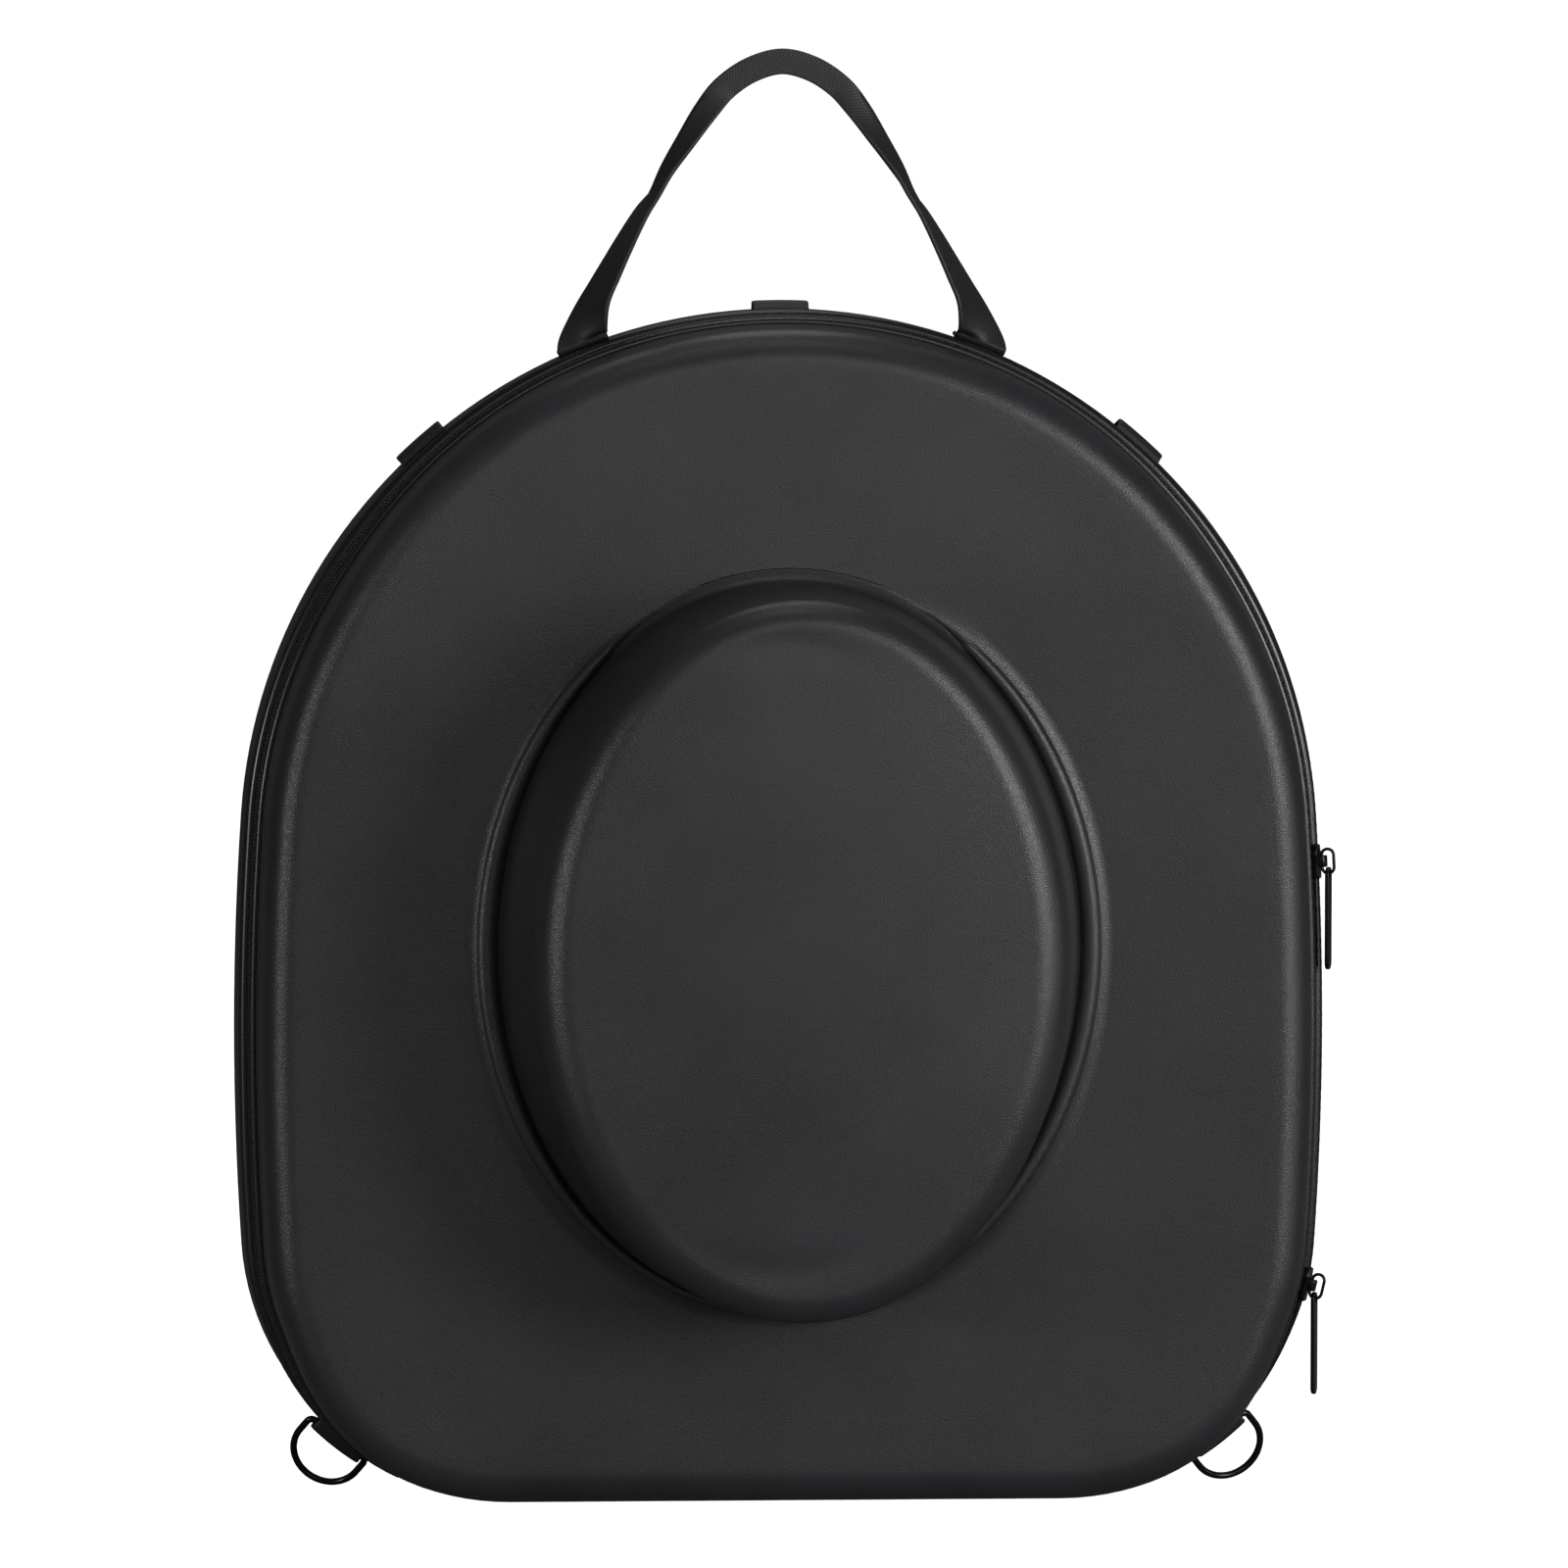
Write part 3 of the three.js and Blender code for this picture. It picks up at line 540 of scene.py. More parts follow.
def frontShellPiece():
    shape = caseShape
    dome = domeShape
    rim = shape["rimDepth"]
    straight = shape["frontDepth"] - shape["frontRound"]
    lean = shape["frontRimInset"] + shape["frontDraft"]

    def wall(inset, steps):
        rows = []
        for step in range(steps):
            share = step / steps
            rows.append({
                "y": -(rim + (straight - rim) * share),
                "lean": shape["frontRimInset"] + shape["frontDraft"] * share,
                "inset": inset,
            })
        return rows + edgeRows(-1, straight, shape["frontRound"] - inset, lean, inset, 2 * steps)

    sideFootInset = dome["footShare"] * dome["weltWidth"]
    endFootInset = dome["footShare"] * dome["weltEndWidth"]

    def domeWall(inset, lowest, steps):
        # the wall climbs from the foot, then turns over into the face
        sideTop = dome["height"] - dome["sideRound"]
        endTop = dome["height"] - dome["endRound"]
        rows = []
        for step in range(2 * steps):
            share = (step / (2 * steps)) ** softShape["wallCurve"]
            rows.append({"dome": (
                sideFootInset + inset + dome["sideDraft"] * share,
                endFootInset + inset + dome["endDraft"] * share,
                lowest + (sideTop - lowest) * share,
                lowest + (endTop - lowest) * share,
                lowest,
            )})
        for step in range(2 * steps + 1):
            angle = math.pi / 2 * step / (2 * steps)
            inward = 1 - math.cos(angle)
            rise = math.sin(angle)
            rows.append({"dome": (
                sideFootInset + inset + dome["sideDraft"] + (dome["sideRound"] - inset) * inward,
                endFootInset + inset + dome["endDraft"] + (dome["endRound"] - inset) * inward,
                sideTop + (dome["sideRound"] - inset) * rise,
                endTop + (dome["endRound"] - inset) * rise,
                lowest,
            )})
        return rows

    def domeFace(inset, steps):
        sideStart = sideFootInset + dome["sideDraft"] + dome["sideRound"]
        endStart = endFootInset + dome["endDraft"] + dome["endRound"]
        rows = []
        for step in range(1, steps + 1):
            share = (step / steps) ** softShape["faceCurve"]
            height = dome["height"] - inset + dome["crowning"] * (1 - (1 - share) ** 2)
            sideInset = sideStart + (dome["width"] / 2 - sideStart - softShape["poleGap"]) * share
            endInset = endStart + (dome["tall"] / 2 - endStart - softShape["poleGap"]) * share
            rows.append({"dome": (sideInset, endInset, height, height)})
        return rows

    weltTable = [(0, 0), (0.08, 0.3), (0.18, 0.68), (0.3, 0.9), (0.45, 1), (0.62, 0.98),
                 (0.78, 0.82), (0.9, 0.5), (0.97, 0.1), (1.02, -0.1), (1.08, 0.05)]
    plateDepth = -shape["frontDepth"]
    outer = wall(0, 6)
    outer += [{"plate": step / 16, "depth": plateDepth} for step in range(1, 16)]
    outer += [{"dome": (dome["weltWidth"] * across, dome["weltEndWidth"] * across,
                        dome["weltHeight"] * rise, dome["weltEndHeight"] * rise)}
              for across, rise in weltTable]
    outer += domeWall(0, 0.6 * mm, 7) + domeFace(0, 26)
    inner = wall(shape["frontWall"], 3)
    innerDepth = plateDepth + shape["frontWall"]
    inner += [{"plate": step / 6, "depth": innerDepth} for step in range(1, 7)]
    inner += domeWall(shape["frontWall"], -shape["frontWall"], 4) + domeFace(shape["frontWall"], 5)
    bm = loftGrid(shellStops, inner[::-1] + outer, shellPoint)
    closeEnds(bm)
    return pieceFrom(bm, "frontShell", shellLeather, ["front_shell"], 60)


def backShellPiece():
    shape = caseShape
    rim = shape["rimDepth"]
    straight = shape["backDepth"] - shape["backRound"]

    def wall(inset, steps):
        rows = []
        for step in range(steps):
            share = step / steps
            rows.append({
                "y": rim + (straight - rim) * share,
                "lean": shape["backRimInset"] * (1 - share) ** 2,
                "inset": inset,
            })
        rows += edgeRows(1, straight, shape["backRound"] - inset, 0, inset, 2 * steps)
        for share in (0.02, 0.2, 0.4, 0.6, 0.8, 1):
            rows.append({"back": share, "depth": shape["backDepth"] - inset})
        return rows

    def pointAt(stop, row):
        if "back" not in row:
            return shellPoint(stop, row)
        spot, normal, tangent = outlineAt(stop)
        start = spot - normal * shape["backRound"]
        middle = Vector((0, 0, shape["height"] / 2))
        point = start.lerp(middle, row["back"])
        point.y = row["depth"]
        return point

    inner = wall(shape["backWall"], 3)
    outer = wall(0, 6)
    bm = loftGrid(shellStops, inner[::-1] + outer, pointAt)
    closeEnds(bm)
    return pieceFrom(bm, "backShell", shellLeather, ["back_shell"], 60)


frontShellPiece()
backShellPiece()
print("shells made")


# The zip, its bindings and the hinge strip

zipShape = {
    "endAngle": math.radians(24),
    "bindingWidth": 3.4 * mm,
    "bindingHeight": 2.0 * mm,
    "tapeSink": 0.4 * mm,
    "tapeThickness": 1.2 * mm,
    "hingeThickness": 1.6 * mm,
    "toothPitch": 1.5 * mm,
    "toothLength": 2.7 * mm,
    "toothHeight": 1.1 * mm,
    "toothThickness": 0.62 * mm,
    "toothOffset": 0.8 * mm,
    "toothLift": 0.2 * mm,
    "toothEdge": 0.18 * mm,
    "stitchPitch": 4.2 * mm,
    "stitchLength": 2.9 * mm,
    "stitchWidth": 0.55 * mm,
    "stitchInset": 0.95 * mm,
    "stitchRise": 0.83,
    "stitchMargin": 3 * mm,
}

zipEnd = halfFlat + caseShape["cornerRadius"] * zipShape["endAngle"]
zipStart = zipEnd + caseShape["gap"]
zipStop = outlineRun - zipEnd - caseShape["gap"]
zipStops = evenStops(zipStart, zipStop, 5 * mm)
hingeStops = evenStops(-zipEnd, zipEnd, 5 * mm)


def bandPiece(name, stops, section, material, nodes):
    # a closed section of depth and height off the wall, carried along the outline
    ring = section + [section[0]]
    around = [0.0]
    for (y, out), (nextY, nextOut) in zip(ring, ring[1:]):
        around.append(around[-1] + math.hypot(nextY - y, nextOut - out))
    rows = list(range(len(ring)))
    bm = loftGrid(
        stops, rows,
        lambda stop, row: onWall(stop, ring[row][0], ring[row][1]),
        lambda stop, row: (stop, around[row]),
    )
    closeEnds(bm)
    return pieceFrom(bm, name, material, nodes, 50)


def bindingPiece(name, side, node):
    shape = zipShape
    middle = side * (caseShape["rimDepth"] + shape["bindingWidth"] / 2 - caseShape["gap"])
    section = []
    for step in range(15):
        angle = math.pi * step / 14
        across = -math.cos(angle) * shape["bindingWidth"] / 2
        rise = math.sin(angle) ** 0.8 * shape["bindingHeight"]
        section.append((middle + across, caseShape["gap"] + rise))
    return bandPiece(name, zipStops, section, bindingLeather, [node])


def flatSection(half, top, thickness):
    soft = 0.2 * mm
    return [(-half, top - soft), (-half + soft, top), (half - soft, top), (half, top - soft),
            (half, top - thickness), (-half, top - thickness)]


def wallTilt(normal):
    # how far the line from rim to rim leans, where the two insets differ
    slope = (caseShape["frontRimInset"] - caseShape["backRimInset"]) / (2 * caseShape["rimDepth"])
    return math.atan(slope * leanShare(normal))


def boxFrame(distance, y, out):
    # axes at a place on the zip: X out from the wall, Y to the back, Z along the outline
    spot, normal, tangent = outlineAt(distance)
    turn = Matrix((
        (normal.x, 0, tangent.x, 0), (0, 1, 0, 0), (normal.z, 0, tangent.z, 0), (0, 0, 0, 1)))
    return Matrix.Translation(onWall(distance, y, out)) @ turn @ Matrix.Rotation(-wallTilt(normal), 4, "Z")


def zipTeethPiece():
    shape = zipShape
    bm = bmesh.new()
    foot = caseShape["gap"] - shape["tapeSink"]
    start = zipStart + shape["toothPitch"]
    count = int((zipStop - zipStart) / shape["toothPitch"]) - 2
    for number in range(2 * count):
        side = 1 if number % 2 else -1
        distance = start + number * shape["toothPitch"] / 2
        out = foot + shape["toothHeight"] / 2 + shape["toothLift"]
        place = boxFrame(distance, side * shape["toothOffset"], out)
        size = Matrix.Diagonal(
            (shape["toothHeight"], shape["toothLength"], shape["toothThickness"], 1))
        bmesh.ops.create_cube(bm, size=1.0, matrix=place @ size)
    bmesh.ops.bevel(bm, geom=bm.edges[:], offset=shape["toothEdge"], offset_type="OFFSET",
                    segments=1, profile=0.5, affect="EDGES", material=-1)
    bmesh.ops.recalc_face_normals(bm, faces=bm.faces[:])
    return pieceFrom(bm, "zipTeeth", coilPlastic, ["zip_coil"], 35)


def stitchRow(bm, places, length, width):
    for place in places:
        size = Matrix.Diagonal((width * 0.6, width, length, 1))
        bmesh.ops.create_icosphere(bm, subdivisions=1, radius=0.5, matrix=place @ size)


def bindingStitches():
    shape = zipShape
    bm = bmesh.new()
    for side in (-1, 1):
        y = side * (caseShape["rimDepth"] + shape["bindingWidth"] - shape["stitchInset"])
        rise = caseShape["gap"] + shape["bindingHeight"] * shape["stitchRise"]
        margin = shape["stitchMargin"]
        stops = evenStops(zipStart + margin, zipStop - margin, shape["stitchPitch"])
        places = [boxFrame(stop, y, rise) for stop in stops]
        stitchRow(bm, places, shape["stitchLength"], shape["stitchWidth"])
    return pieceFrom(bm, "bindingStitches", threadCord)


bindingPiece("frontBinding", -1, "front_binding")
bindingPiece("backBinding", 1, "back_binding")
tapeHalf = caseShape["rimDepth"] - caseShape["gap"]
tapeSection = flatSection(tapeHalf, -zipShape["tapeSink"], zipShape["tapeThickness"])
bandPiece("zipTape", zipStops, tapeSection, tapeCloth, ["zip_tape"])
hingeSection = flatSection(tapeHalf, 0, zipShape["hingeThickness"])
bandPiece("hingeStrip", hingeStops, hingeSection, tapeCloth, ["hinge_strip"])
zipTeethPiece()
bindingStitches()
print("zip and bindings made")


# The zip sliders with their bails and pulls

def pushOut(bm, faces, way):
    # extrudes the faces along a way and gives the moved points
    made = bmesh.ops.extrude_face_region(bm, geom=faces)
    moved = [item for item in made["geom"] if isinstance(item, bmesh.types.BMVert)]
    bmesh.ops.translate(bm, verts=moved, vec=way)
    bmesh.ops.recalc_face_normals(bm, faces=bm.faces[:])
    return moved


def roundEdges(bm, edges, offset, segments):
    bmesh.ops.bevel(bm, geom=edges, offset=offset, offset_type="OFFSET", segments=segments,
                    profile=0.5, affect="EDGES", material=-1, clamp_overlap=True)


sliderShape = {
    "upperHeight": 251 * mm,
    "lowerAngle": math.radians(77),
    "length": 14 * mm,
    "width": 7.6 * mm,
    "thickness": 2.6 * mm,
    "foot": 1.8 * mm,
    "crownWidth": 5.2 * mm,
    "crownLength": 4.4 * mm,
    "crownBar": 1.1 * mm,
    "crownGap": 1.9 * mm,
    "crownSink": 0.6 * mm,
    "crownInside": 0.56,
    "plateEdge": 0.5 * mm,
    "crownEdge": 0.2 * mm,
    "bailLength": 11 * mm,
    "bailWidth": 6.2 * mm,
    "wire": 1.3 * mm,
    "pullLength": 41 * mm,
    "pullWidth": 6.4 * mm,
    "pullThickness": 1.6 * mm,
    "pullHole": 3.0 * mm,
    "pullPlay": 0.6 * mm,
    "pullEdge": 0.3 * mm,
}


def wireLoop(name, points, radius, nodes):
    # a closed round wire through points, made with a bevelled curve
    curve = bpy.data.curves.new(name + "Path", "CURVE")
    curve.dimensions = "3D"
    curve.bevel_depth = radius
    curve.bevel_resolution = 5
    curve.twist_mode = "MINIMUM"
    spline = curve.splines.new("POLY")
    spline.points.add(len(points) - 1)
    for place, point in zip(spline.points, points):
        place.co = (*point, 1)
    spline.use_cyclic_u = True
    holder = bpy.data.objects.new(name + "Path", curve)
    bpy.context.scene.collection.objects.link(holder)
    bpy.context.view_layer.update()
    mesh = bpy.data.meshes.new_from_object(holder)
    bm = bmesh.new()
    bm.from_mesh(mesh)
    bmesh.ops.remove_doubles(bm, verts=bm.verts[:], dist=0.002 * mm)
    bmesh.ops.recalc_face_normals(bm, faces=bm.faces[:])
    bpy.data.objects.remove(holder)
    bpy.data.curves.remove(curve)
    bpy.data.meshes.remove(mesh)
    return pieceFrom(bm, name, blackMetal, nodes, 60)


def arcPoints(x, z, radius, start, end, steps):
    points = []
    for step in range(steps + 1):
        angle = math.radians(start + (end - start) * step / steps)
        points.append(Vector((x + radius * math.cos(angle), 0, z + radius * math.sin(angle))))
    return points


def sliderPiece(name, seat, node):
    shape = sliderShape
    half = shape["length"] / 2
    bm = bmesh.new()
    # the waisted plate: a flat outline pushed out into a plate
    outline = [(-0.5, 0.42), (-0.36, 0.94), (0, 1), (0.36, 0.94), (0.5, 0.42),
               (0.4, -0.05), (0.4, -0.9), (0.3, -1), (-0.3, -1), (-0.4, -0.9), (-0.4, -0.05)]
    verts = [bm.verts.new((shape["foot"], shape["width"] * y, half * z)) for y, z in outline]
    pushOut(bm, [bm.faces.new(verts)], (shape["thickness"], 0, 0))
    roundEdges(bm, bm.edges[:], shape["plateEdge"], 3)
    # the crown: an arch of bar over the bail
    rise = shape["crownGap"] + shape["crownBar"]
    base = shape["foot"] + shape["thickness"]
    sunk = -shape["crownSink"]
    inside = shape["crownInside"]
    arch = [(sunk, -1), (rise * 0.72, -1), (rise - 0.25 * mm, -0.8), (rise, -0.45),
            (rise, 0.45), (rise - 0.25 * mm, 0.8), (rise * 0.72, 1), (sunk, 1),
            (sunk, inside), (shape["crownGap"], inside), (shape["crownGap"], -inside),
            (sunk, -inside)]
    low = [bm.verts.new((base + x, y * shape["crownWidth"] / 2, -shape["crownLength"] / 2))
           for x, y in arch]
    far = pushOut(bm, [bm.faces.new(low)], (0, 0, shape["crownLength"]))
    crownEdges = [edge for edge in bm.edges
                  if all(vert in low or vert in far for vert in edge.verts)]
    roundEdges(bm, crownEdges, shape["crownEdge"], 2)
    bmesh.ops.transform(bm, matrix=seat, verts=bm.verts[:])
    return pieceFrom(bm, name, blackMetal, [node], 40)


def pullPiece(name, hook, turn, node):
    shape = sliderShape
    bm = bmesh.new()
    radius = shape["pullWidth"] / 2
    eye = radius - shape["pullHole"] / 2 - shape["wire"]
    side = shape["pullThickness"] / 2
    rest = shape["wire"] / 2 + shape["pullPlay"] - shape["pullHole"] / 2
    rimPoints = arcPoints(0, 0, radius, 0, 180, 20)
    rimPoints += arcPoints(0, -shape["pullLength"] + 2 * radius, radius, 180, 360, 20)
    holePoints = arcPoints(0, eye, shape["pullHole"] / 2, 0, 345, 23)

    def loopOf(points):
        verts = [bm.verts.new((-side, point.x, point.z)) for point in points]
        return [bm.edges.new((vert, verts[(i + 1) % len(verts)])) for i, vert in enumerate(verts)]

    edges = loopOf(rimPoints) + loopOf(holePoints)
    bmesh.ops.triangle_fill(bm, use_beauty=True, edges=edges, normal=(-1, 0, 0))
    pushOut(bm, bm.faces[:], (2 * side, 0, 0))
    rims = [edge for edge in bm.edges if edge.calc_face_angle(0) > math.radians(60)]
    bmesh.ops.bevel(bm, geom=rims, offset=shape["pullEdge"], offset_type="OFFSET", segments=3,
                    profile=0.5, affect="EDGES", material=-1)
    place = Matrix.Translation(hook + upWay * (rest - eye)) @ Matrix.Rotation(turn, 4, "Z")
    bmesh.ops.transform(bm, matrix=place, verts=bm.verts[:])
    return pieceFrom(bm, name, blackMetal, [node], 40)


def sliderSet(name, distance):
    shape = sliderShape
    seat = boxFrame(distance, 0, 0)
    sliderPiece(name + "Slider", seat, name + "_slider")
    radius = (shape["bailWidth"] - shape["wire"]) / 2
    reach = (shape["bailLength"] - shape["wire"]) / 2 - radius
    out = shape["foot"] + shape["thickness"] + shape["crownGap"]
    out += shape["bailWidth"] / 2 - shape["wire"] - caseShape["gap"]
    path = arcPoints(out, reach, radius, 0, 180, 20) + arcPoints(out, -reach, radius, 180, 360, 20)
    wireLoop(name + "Bail", [seat @ point for point in path], shape["wire"] / 2, [name + "_bail"])
    hook = seat @ Vector((out, 0, -reach - radius))
    spot, normal, tangent = outlineAt(distance)
    pullPiece(name + "Pull", hook, -wallTilt(normal), name + "_pull")


upperHeading = math.acos(math.sin(bow) - (sliderShape["upperHeight"] - sideFoot) / sideRadius)
sliderSet("upper", halfFlat + cornerRun + sideRadius * (upperHeading - cornerTurn))
sliderSet("lower", halfFlat + caseShape["cornerRadius"] * sliderShape["lowerAngle"])
print("sliders made")


# Webbing: the handle, the tabs and the rings in the lower two

webbingShape = {
    "handleTop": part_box("carry_handle")[1].z,
    "footAngle": math.radians(21.4),
    "width": 21 * mm,
    "thickness": 1.8 * mm,
    "footBack": 24.5 * mm,
    "footFront": 12.2 * mm,
    "bend": 3 * mm,
    "tabWidth": 22 * mm,
    "tabThickness": 1.6 * mm,
    "tabLength": 16.8 * mm,
    "tabFront": 14 * mm,
    "tabLift": 1.4 * mm,
    "stitchPitch": 2.5 * mm,
    "stitchLength": 1.9 * mm,
    "stitchWidth": 0.6 * mm,
    "stitchInset": 1.3 * mm,
    "stitchMargin": 2.2 * mm,
    "sideTabAngle": math.radians(41.5),
    "ringTabAngle": math.radians(38),
    "ringTabFront": 9.2 * mm,
    "ringWire": 2.8 * mm,
    "ringWidth": 30.8 * mm,
    "ringHeight": 24.3 * mm,
    "ringCorner": 2.4 * mm,
    "ringPlay": 1 * mm,
}

# out and up along half the handle, then shares of a quarter turn, of a full fold and of the slant
handleRows = [
    (1, 0, 0, 0, 1),
    (0.984, 0.044, 0.42, 0, 0.5),
    (0.932, 0.149, 0.7, 0, 0.05),
    (0.859, 0.254, 0.785, 0, 0),
    (0.783, 0.359, 0.845, 0, 0),
    (0.704, 0.463, 0.905, 0.03, 0),
    (0.64, 0.535, 0.96, 0.13, 0),
    (0.575, 0.62, 1, 0.283, 0),
    (0.478, 0.725, 1, 0.483, 0),
    (0.376, 0.83, 1, 0.75, 0),
    (0.28, 0.91, 1, 1, 0),
    (0.15, 0.972, 1, 1, 0),
    (0, 1, 1, 1, 0),
]


def between(values, share):
    # a smooth curve through a list of vectors, share 0 to 1 from the first to the last
    place = share * (len(values) - 1)
    i = min(int(place), len(values) - 2)
    t = place - i
    a = values[max(i - 1, 0)]
    b = values[i]
    c = values[i + 1]
    d = values[min(i + 2, len(values) - 1)]
    return 0.5 * (2 * b + (c - a) * t + (2 * a - 5 * b + 4 * c - d) * t ** 2
                  + (3 * b - 3 * c + d - a) * t ** 3)


def handleStations():
    shape = webbingShape
    gap = caseShape["gap"]
    footOut = gap + shape["thickness"] / 2
    rise = footOut + shape["bend"]
    depth = shape["footFront"] - shape["bend"]
    footAt = {side: topMiddle + side * topRadius * shape["footAngle"] for side in (1, -1)}
    away = {side: outlineAt(footAt[side])[2] * side for side in (1, -1)}

    def foot(side):
        spot, normal, tangent = outlineAt(footAt[side])
        found = []
        for y in evenStops(shape["footFront"], shape["footBack"], 1.5 * mm)[::-1]:
            found.append((onWall(footAt[side], y, footOut), away[side], -normal, 0.0))
        for angle in range(10, 90, 10):
            turn = math.radians(angle)
            y = shape["footFront"] - shape["bend"] * math.sin(turn)
            face = -normal * math.cos(turn) - backWay * math.sin(turn)
            centre = onWall(footAt[side], y, footOut + shape["bend"] * (1 - math.cos(turn)))
            found.append((centre, away[side], face, 0.0))
        return found

    base = onWall(footAt[1], depth, rise)
    gripDrop = shape["width"] / 2 - shape["thickness"] / 2 - gap
    top = shape["handleTop"] - shape["thickness"] / 2 - gripDrop / 2
    sides = [(1, row) for row in handleRows] + [(-1, row) for row in handleRows[-2::-1]]
    route = [Vector((side * base.x * row[0], depth, base.z + (top - base.z) * row[1]))
             for side, row in sides]
    forms = [Vector(row[2:]) for side, row in sides]
    steps = 170
    arch = []
    for step in range(steps + 1):
        share = step / steps
        nearby = 0.004
        before = between(route, max(0, share - nearby))
        tangent = (between(route, min(1, share + nearby)) - before).normalized()
        turn, fold, skew = (min(1, max(0, value)) for value in between(forms, share))
        outward = Vector((-tangent.z, 0, tangent.x))
        outward = outward.lerp(away[1 if share < 0.5 else -1], skew).normalized()
        quarter = math.pi / 2
        wide = outward * math.cos(turn * quarter) + backWay * math.sin(turn * quarter)
        face = outward * math.sin(turn * quarter) - backWay * math.cos(turn * quarter)
        lift = gripDrop * math.sin(fold * quarter) / 2
        arch.append((between(route, share) + face * lift, wide, face, fold * quarter))
    return foot(1) + arch + foot(-1)[::-1]


def webbingPoint(station, across, side):
    # across runs from one edge to the other, and side is 1 for the face or -1 for the back
    centre, wide, face, fold = station
    shape = webbingShape
    ridge = shape["thickness"] / 2 + caseShape["gap"]
    past = max(0.0, abs(across) - ridge)
    sign = 1 if across >= 0 else -1
    near = min(abs(across), ridge)
    bend = fold * smoothShare(ridge * 0.4, ridge * 1.5, abs(across))
    edge = min(1.0, (shape["width"] / 2 - abs(across)) / (0.5 * mm))
    half = shape["thickness"] / 2 * math.sqrt(max(0.12, 1 - (1 - edge) ** 2))
    point = centre + wide * sign * (near + past * math.cos(fold)) - face * past * math.sin(fold)
    lift = wide * sign * math.sin(bend) + face * math.cos(bend)
    return point + lift * side * half


def carryHandlePiece():
    shape = webbingShape
    stations = handleStations()
    half = shape["width"] / 2
    steps = 26
    acrossTable = [-half * math.cos(math.pi * step / steps) for step in range(steps + 1)]
    ring = [(across, 1) for across in acrossTable]
    ring += [(across, -1) for across in acrossTable[::-1]] + [(-half, 1)]
    lengths = [0.0]
    for first, second in zip(stations, stations[1:]):
        lengths.append(lengths[-1] + (second[0] - first[0]).length)
    bm = loftGrid(
        list(range(len(stations))), list(range(len(ring))),
        lambda i, j: webbingPoint(stations[i], *ring[j]),
        lambda i, j: (lengths[i], ring[j][0]),
    )
    closeEnds(bm)
    return pieceFrom(bm, "carryHandle", webbingCloth, ["carry_handle"], 60)


def stripPoint(middle, lineAt, share, across, side, thickness):
    y, out = lineAt(share)
    aheadY, aheadOut = lineAt(min(1, share + 0.02))
    behindY, behindOut = lineAt(max(0, share - 0.02))
    slope = math.atan2(aheadOut - behindOut, aheadY - behindY)
    reach = side * thickness / 2
    return onWall(middle + across, y - math.sin(slope) * reach, out + math.cos(slope) * reach)


def tabPiece(name, middle, front, lift, node):
    shape = webbingShape
    foot = caseShape["gap"] + shape["tabThickness"] / 2

    def lineAt(share):
        rise = smoothShare(0.14, 0.32, share) - smoothShare(0.68, 0.86, share)
        return front + shape["tabLength"] * share, foot + lift * rise

    half = shape["tabWidth"] / 2
    acrossTable = [-half, -half + 0.3 * mm] + evenStops(-half + mm, half - mm, 2 * mm)
    acrossTable += [half - 0.3 * mm, half]
    ring = [(across, 1) for across in acrossTable]
    ring += [(across, -1) for across in acrossTable[::-1]] + [(-half, 1)]

    def pointAt(share, spot):
        across, side = spot
        soft = 0.45 if abs(across) > half - 0.1 * mm else 0.85 if abs(across) > half - 0.5 * mm else 1
        return stripPoint(middle, lineAt, share, across, side, shape["tabThickness"] * soft)

    length = shape["tabLength"] + 2 * lift
    bm = loftGrid([step / 34 for step in range(35)], ring, pointAt,
                  lambda share, spot: (share * length, spot[0]))
    closeEnds(bm)
    pieceFrom(bm, name, webbingCloth, [node], 60)
    # two rows of stitches hold each sewn-down end
    bm = bmesh.new()
    rowReach = half - shape["stitchMargin"]
    for y in (front + shape["stitchInset"], front + shape["tabLength"] - shape["stitchInset"]):
        for across in evenStops(-rowReach, rowReach, shape["stitchPitch"]):
            spot, normal, tangent = outlineAt(middle + across)
            place = onWall(middle + across, y, foot + shape["tabThickness"] / 2)
            turn = Matrix((
                (normal.x, 0, tangent.x, place.x), (0, 1, 0, place.y),
                (normal.z, 0, tangent.z, place.z), (0, 0, 0, 1)))
            stitchRow(bm, [turn], shape["stitchLength"], shape["stitchWidth"])
    pieceFrom(bm, name + "Stitches", threadCord)


def ringPiece(name, middle, node):
    shape = webbingShape
    half = (shape["ringWidth"] - shape["ringWire"]) / 2
    straight = shape["ringHeight"] - shape["ringWire"] - half
    corner = shape["ringCorner"]
    path = arcPoints(half - corner, corner, corner, -90, 0, 8)
    path += arcPoints(0, straight, half, 0, 180, 40)
    path += arcPoints(corner - half, corner, corner, 180, 270, 8)
    spot, normal, tangent = outlineAt(middle)
    barOut = caseShape["gap"] + shape["ringPlay"] + shape["ringWire"] / 2
    bar = onWall(middle, shape["ringTabFront"] + shape["tabLength"] / 2, barOut)
    swing = 0.0
    lowest = -1.0
    while lowest < caseShape["gap"] and swing < 90:
        swing += 0.5
        turn = math.radians(swing)
        along = normal * math.cos(turn) + backWay * math.sin(turn)
        points = [bar + tangent * point.x + along * point.z for point in path]
        lowest = min(point.z for point in points) - shape["ringWire"] / 2
    return wireLoop(name, points, shape["ringWire"] / 2, [node])


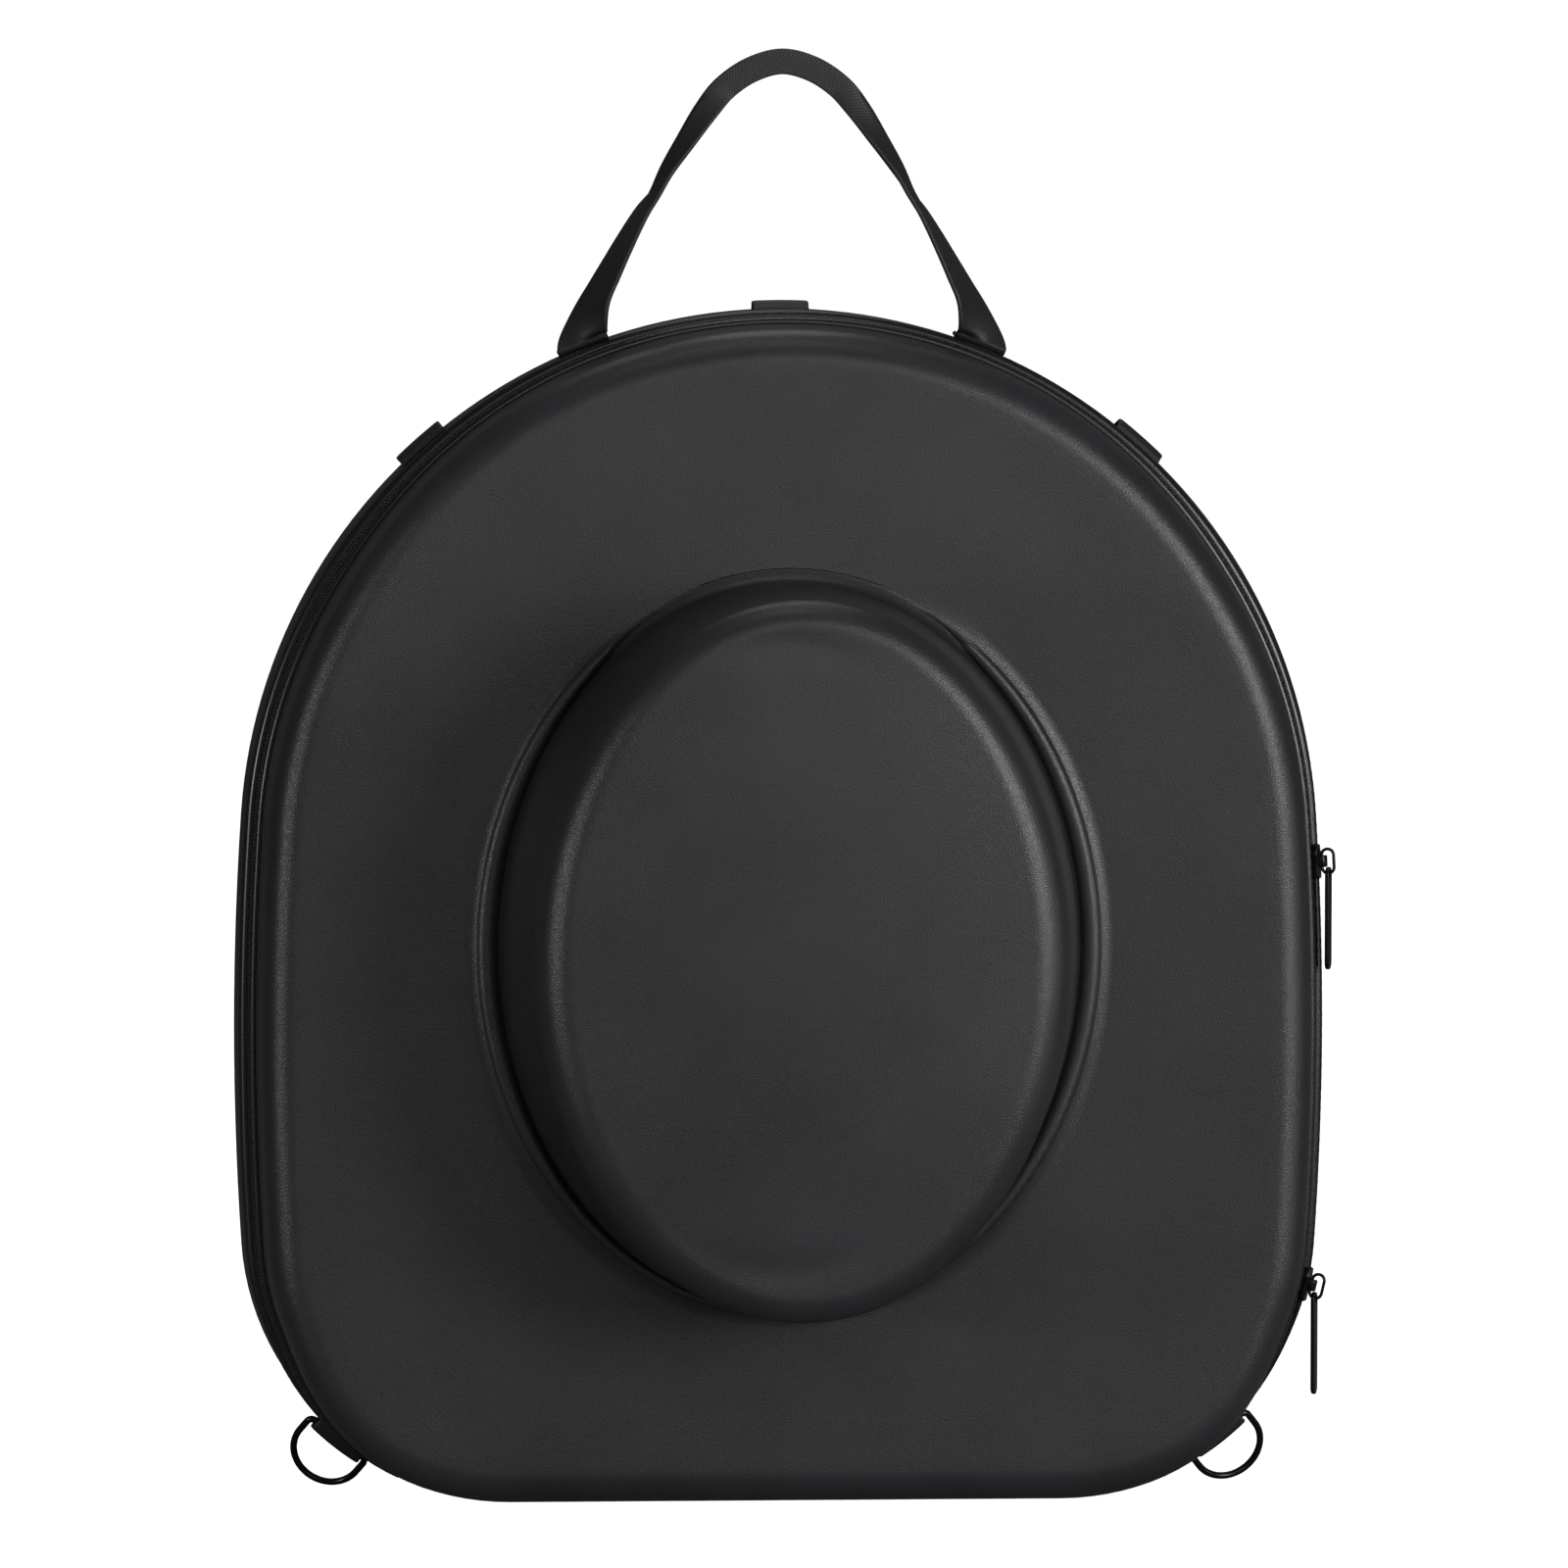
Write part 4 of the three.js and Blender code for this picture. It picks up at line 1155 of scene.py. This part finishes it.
carryHandlePiece()
tabPiece("topTab", topMiddle, webbingShape["tabFront"], webbingShape["tabLift"], "top_tab")
for sideName, side in (("left", 1), ("right", -1)):
    shoulder = topMiddle + side * topRadius * webbingShape["sideTabAngle"]
    corner = side * (halfFlat + caseShape["cornerRadius"] * webbingShape["ringTabAngle"])
    ringSpot = (outlineRun - corner) % outlineRun
    roundness = webbingShape["tabWidth"] ** 2 / (8 * caseShape["cornerRadius"])
    ringLift = webbingShape["ringPlay"] + webbingShape["ringWire"] + caseShape["gap"] + roundness
    tabPiece(sideName + "Tab", shoulder, webbingShape["tabFront"], webbingShape["tabLift"],
             sideName + "_tab")
    tabPiece(sideName + "RingTab", ringSpot, webbingShape["ringTabFront"], ringLift,
             sideName + "_ring_tab")
    ringPiece(sideName + "Ring", ringSpot, sideName + "_ring")
print("webbing and rings made")


# Floor, light and camera

stageShape = {
    "floorSize": 60.0,
    "floorSeen": 1.0,
    "floorGlow": 0.0,
    "floorBounce": 0.25,
    "floorTone": 0.8,
    "skySeen": 1.0,
    "skyGlow": 0.07,
    "lightAim": (0, -0.05, 0.25),
    "lightReach": 3.0,
    "cameraAzimuth": -3.8,
    "cameraElevation": 5.5,
    "cameraDistance": 8.0,
    "frameWidth": 0.6216,
    "cameraRoll": 0.1,
    "aimX": 0.0005,
    "aimZ": 0.2826,
}

# Azimuth, elevation, size and power of each soft light, aimed at the middle of the case
lightTable = {
    "frontLight": (5, 12, 1.6, 9.5),
    "rightLight": (40, 9, 1.2, 52),
    "leftLight": (-54, 3, 0.3, 17),
    "rightEdgeLight": (69, -2, 0.5, 7),
    "topLight": (0, 77, 1.0, 7),
    "backLight": (180, 58, 1.6, 11),
}


def splitForCamera(tree, shone, seen):
    # one value for the light that reaches the case, another for what the camera sees
    cameraRay = tree.nodes.new("ShaderNodeLightPath").outputs["Is Camera Ray"]
    return mapNode(tree, cameraRay, 0.0, 1.0, shone, seen)


def addFloor():
    bm = bmesh.new()
    bmesh.ops.create_grid(bm, x_segments=1, y_segments=1, size=stageShape["floorSize"] / 2)
    mesh = bpy.data.meshes.new("floor")
    bm.to_mesh(mesh)
    bm.free()
    material, tree, shader = startMaterial("paleFloor", specular=0.2)
    shader.inputs["Roughness"].default_value = 0.9
    shader.inputs["Emission Color"].default_value = (1, 1, 1, 1)
    glow = splitForCamera(tree, stageShape["floorGlow"], stageShape["floorSeen"])
    tree.links.new(glow, shader.inputs["Emission Strength"])
    tone = splitForCamera(tree, stageShape["floorBounce"], stageShape["floorTone"])
    tree.links.new(tone, shader.inputs["Base Color"])
    mesh.materials.append(material)
    floor = bpy.data.objects.new("floor", mesh)
    bpy.context.scene.collection.objects.link(floor)


def wayTo(azimuth, elevation):
    # the way to a place from the case, azimuth from the front towards the viewer's right
    turn = math.radians(azimuth)
    rise = math.radians(elevation)
    return Vector((math.sin(turn) * math.cos(rise), -math.cos(turn) * math.cos(rise), math.sin(rise)))


def addLight(name, azimuth, elevation, size, power):
    light = bpy.data.lights.new(name, "AREA")
    light.shape = "DISK"
    light.size = size
    light.energy = power
    way = wayTo(azimuth, elevation)
    holder = bpy.data.objects.new(name, light)
    holder.location = Vector(stageShape["lightAim"]) + way * stageShape["lightReach"]
    holder.rotation_euler = (-way).to_track_quat("-Z", "Y").to_euler()
    bpy.context.scene.collection.objects.link(holder)


def addCamera():
    shape = stageShape
    camera = bpy.data.cameras.new("camera")
    camera.lens = camera.sensor_width * shape["cameraDistance"] / shape["frameWidth"]
    camera.clip_end = 50
    way = wayTo(shape["cameraAzimuth"], shape["cameraElevation"])
    aim = Vector((shape["aimX"], 0, shape["aimZ"]))
    holder = bpy.data.objects.new("camera", camera)
    holder.location = aim + way * shape["cameraDistance"]
    look = (-way).to_track_quat("-Z", "Y").to_matrix()
    roll = Matrix.Rotation(math.radians(shape["cameraRoll"]), 3, "Z")
    holder.rotation_euler = (look @ roll).to_euler()
    bpy.context.scene.collection.objects.link(holder)
    bpy.context.scene.camera = holder


def addWorld():
    world = bpy.data.worlds.new("studio")
    bpy.context.scene.world = world
    world.use_nodes = True
    tree = world.node_tree
    sky = tree.nodes["Background"]
    sky.inputs["Color"].default_value = (1, 1, 1, 1)
    glow = splitForCamera(tree, stageShape["skyGlow"], stageShape["skySeen"])
    tree.links.new(glow, sky.inputs["Strength"])
    bpy.context.scene.view_settings.view_transform = "Standard"


addFloor()
addWorld()
for name, settings in lightTable.items():
    addLight(name, *settings)
addCamera()
print("stage made")
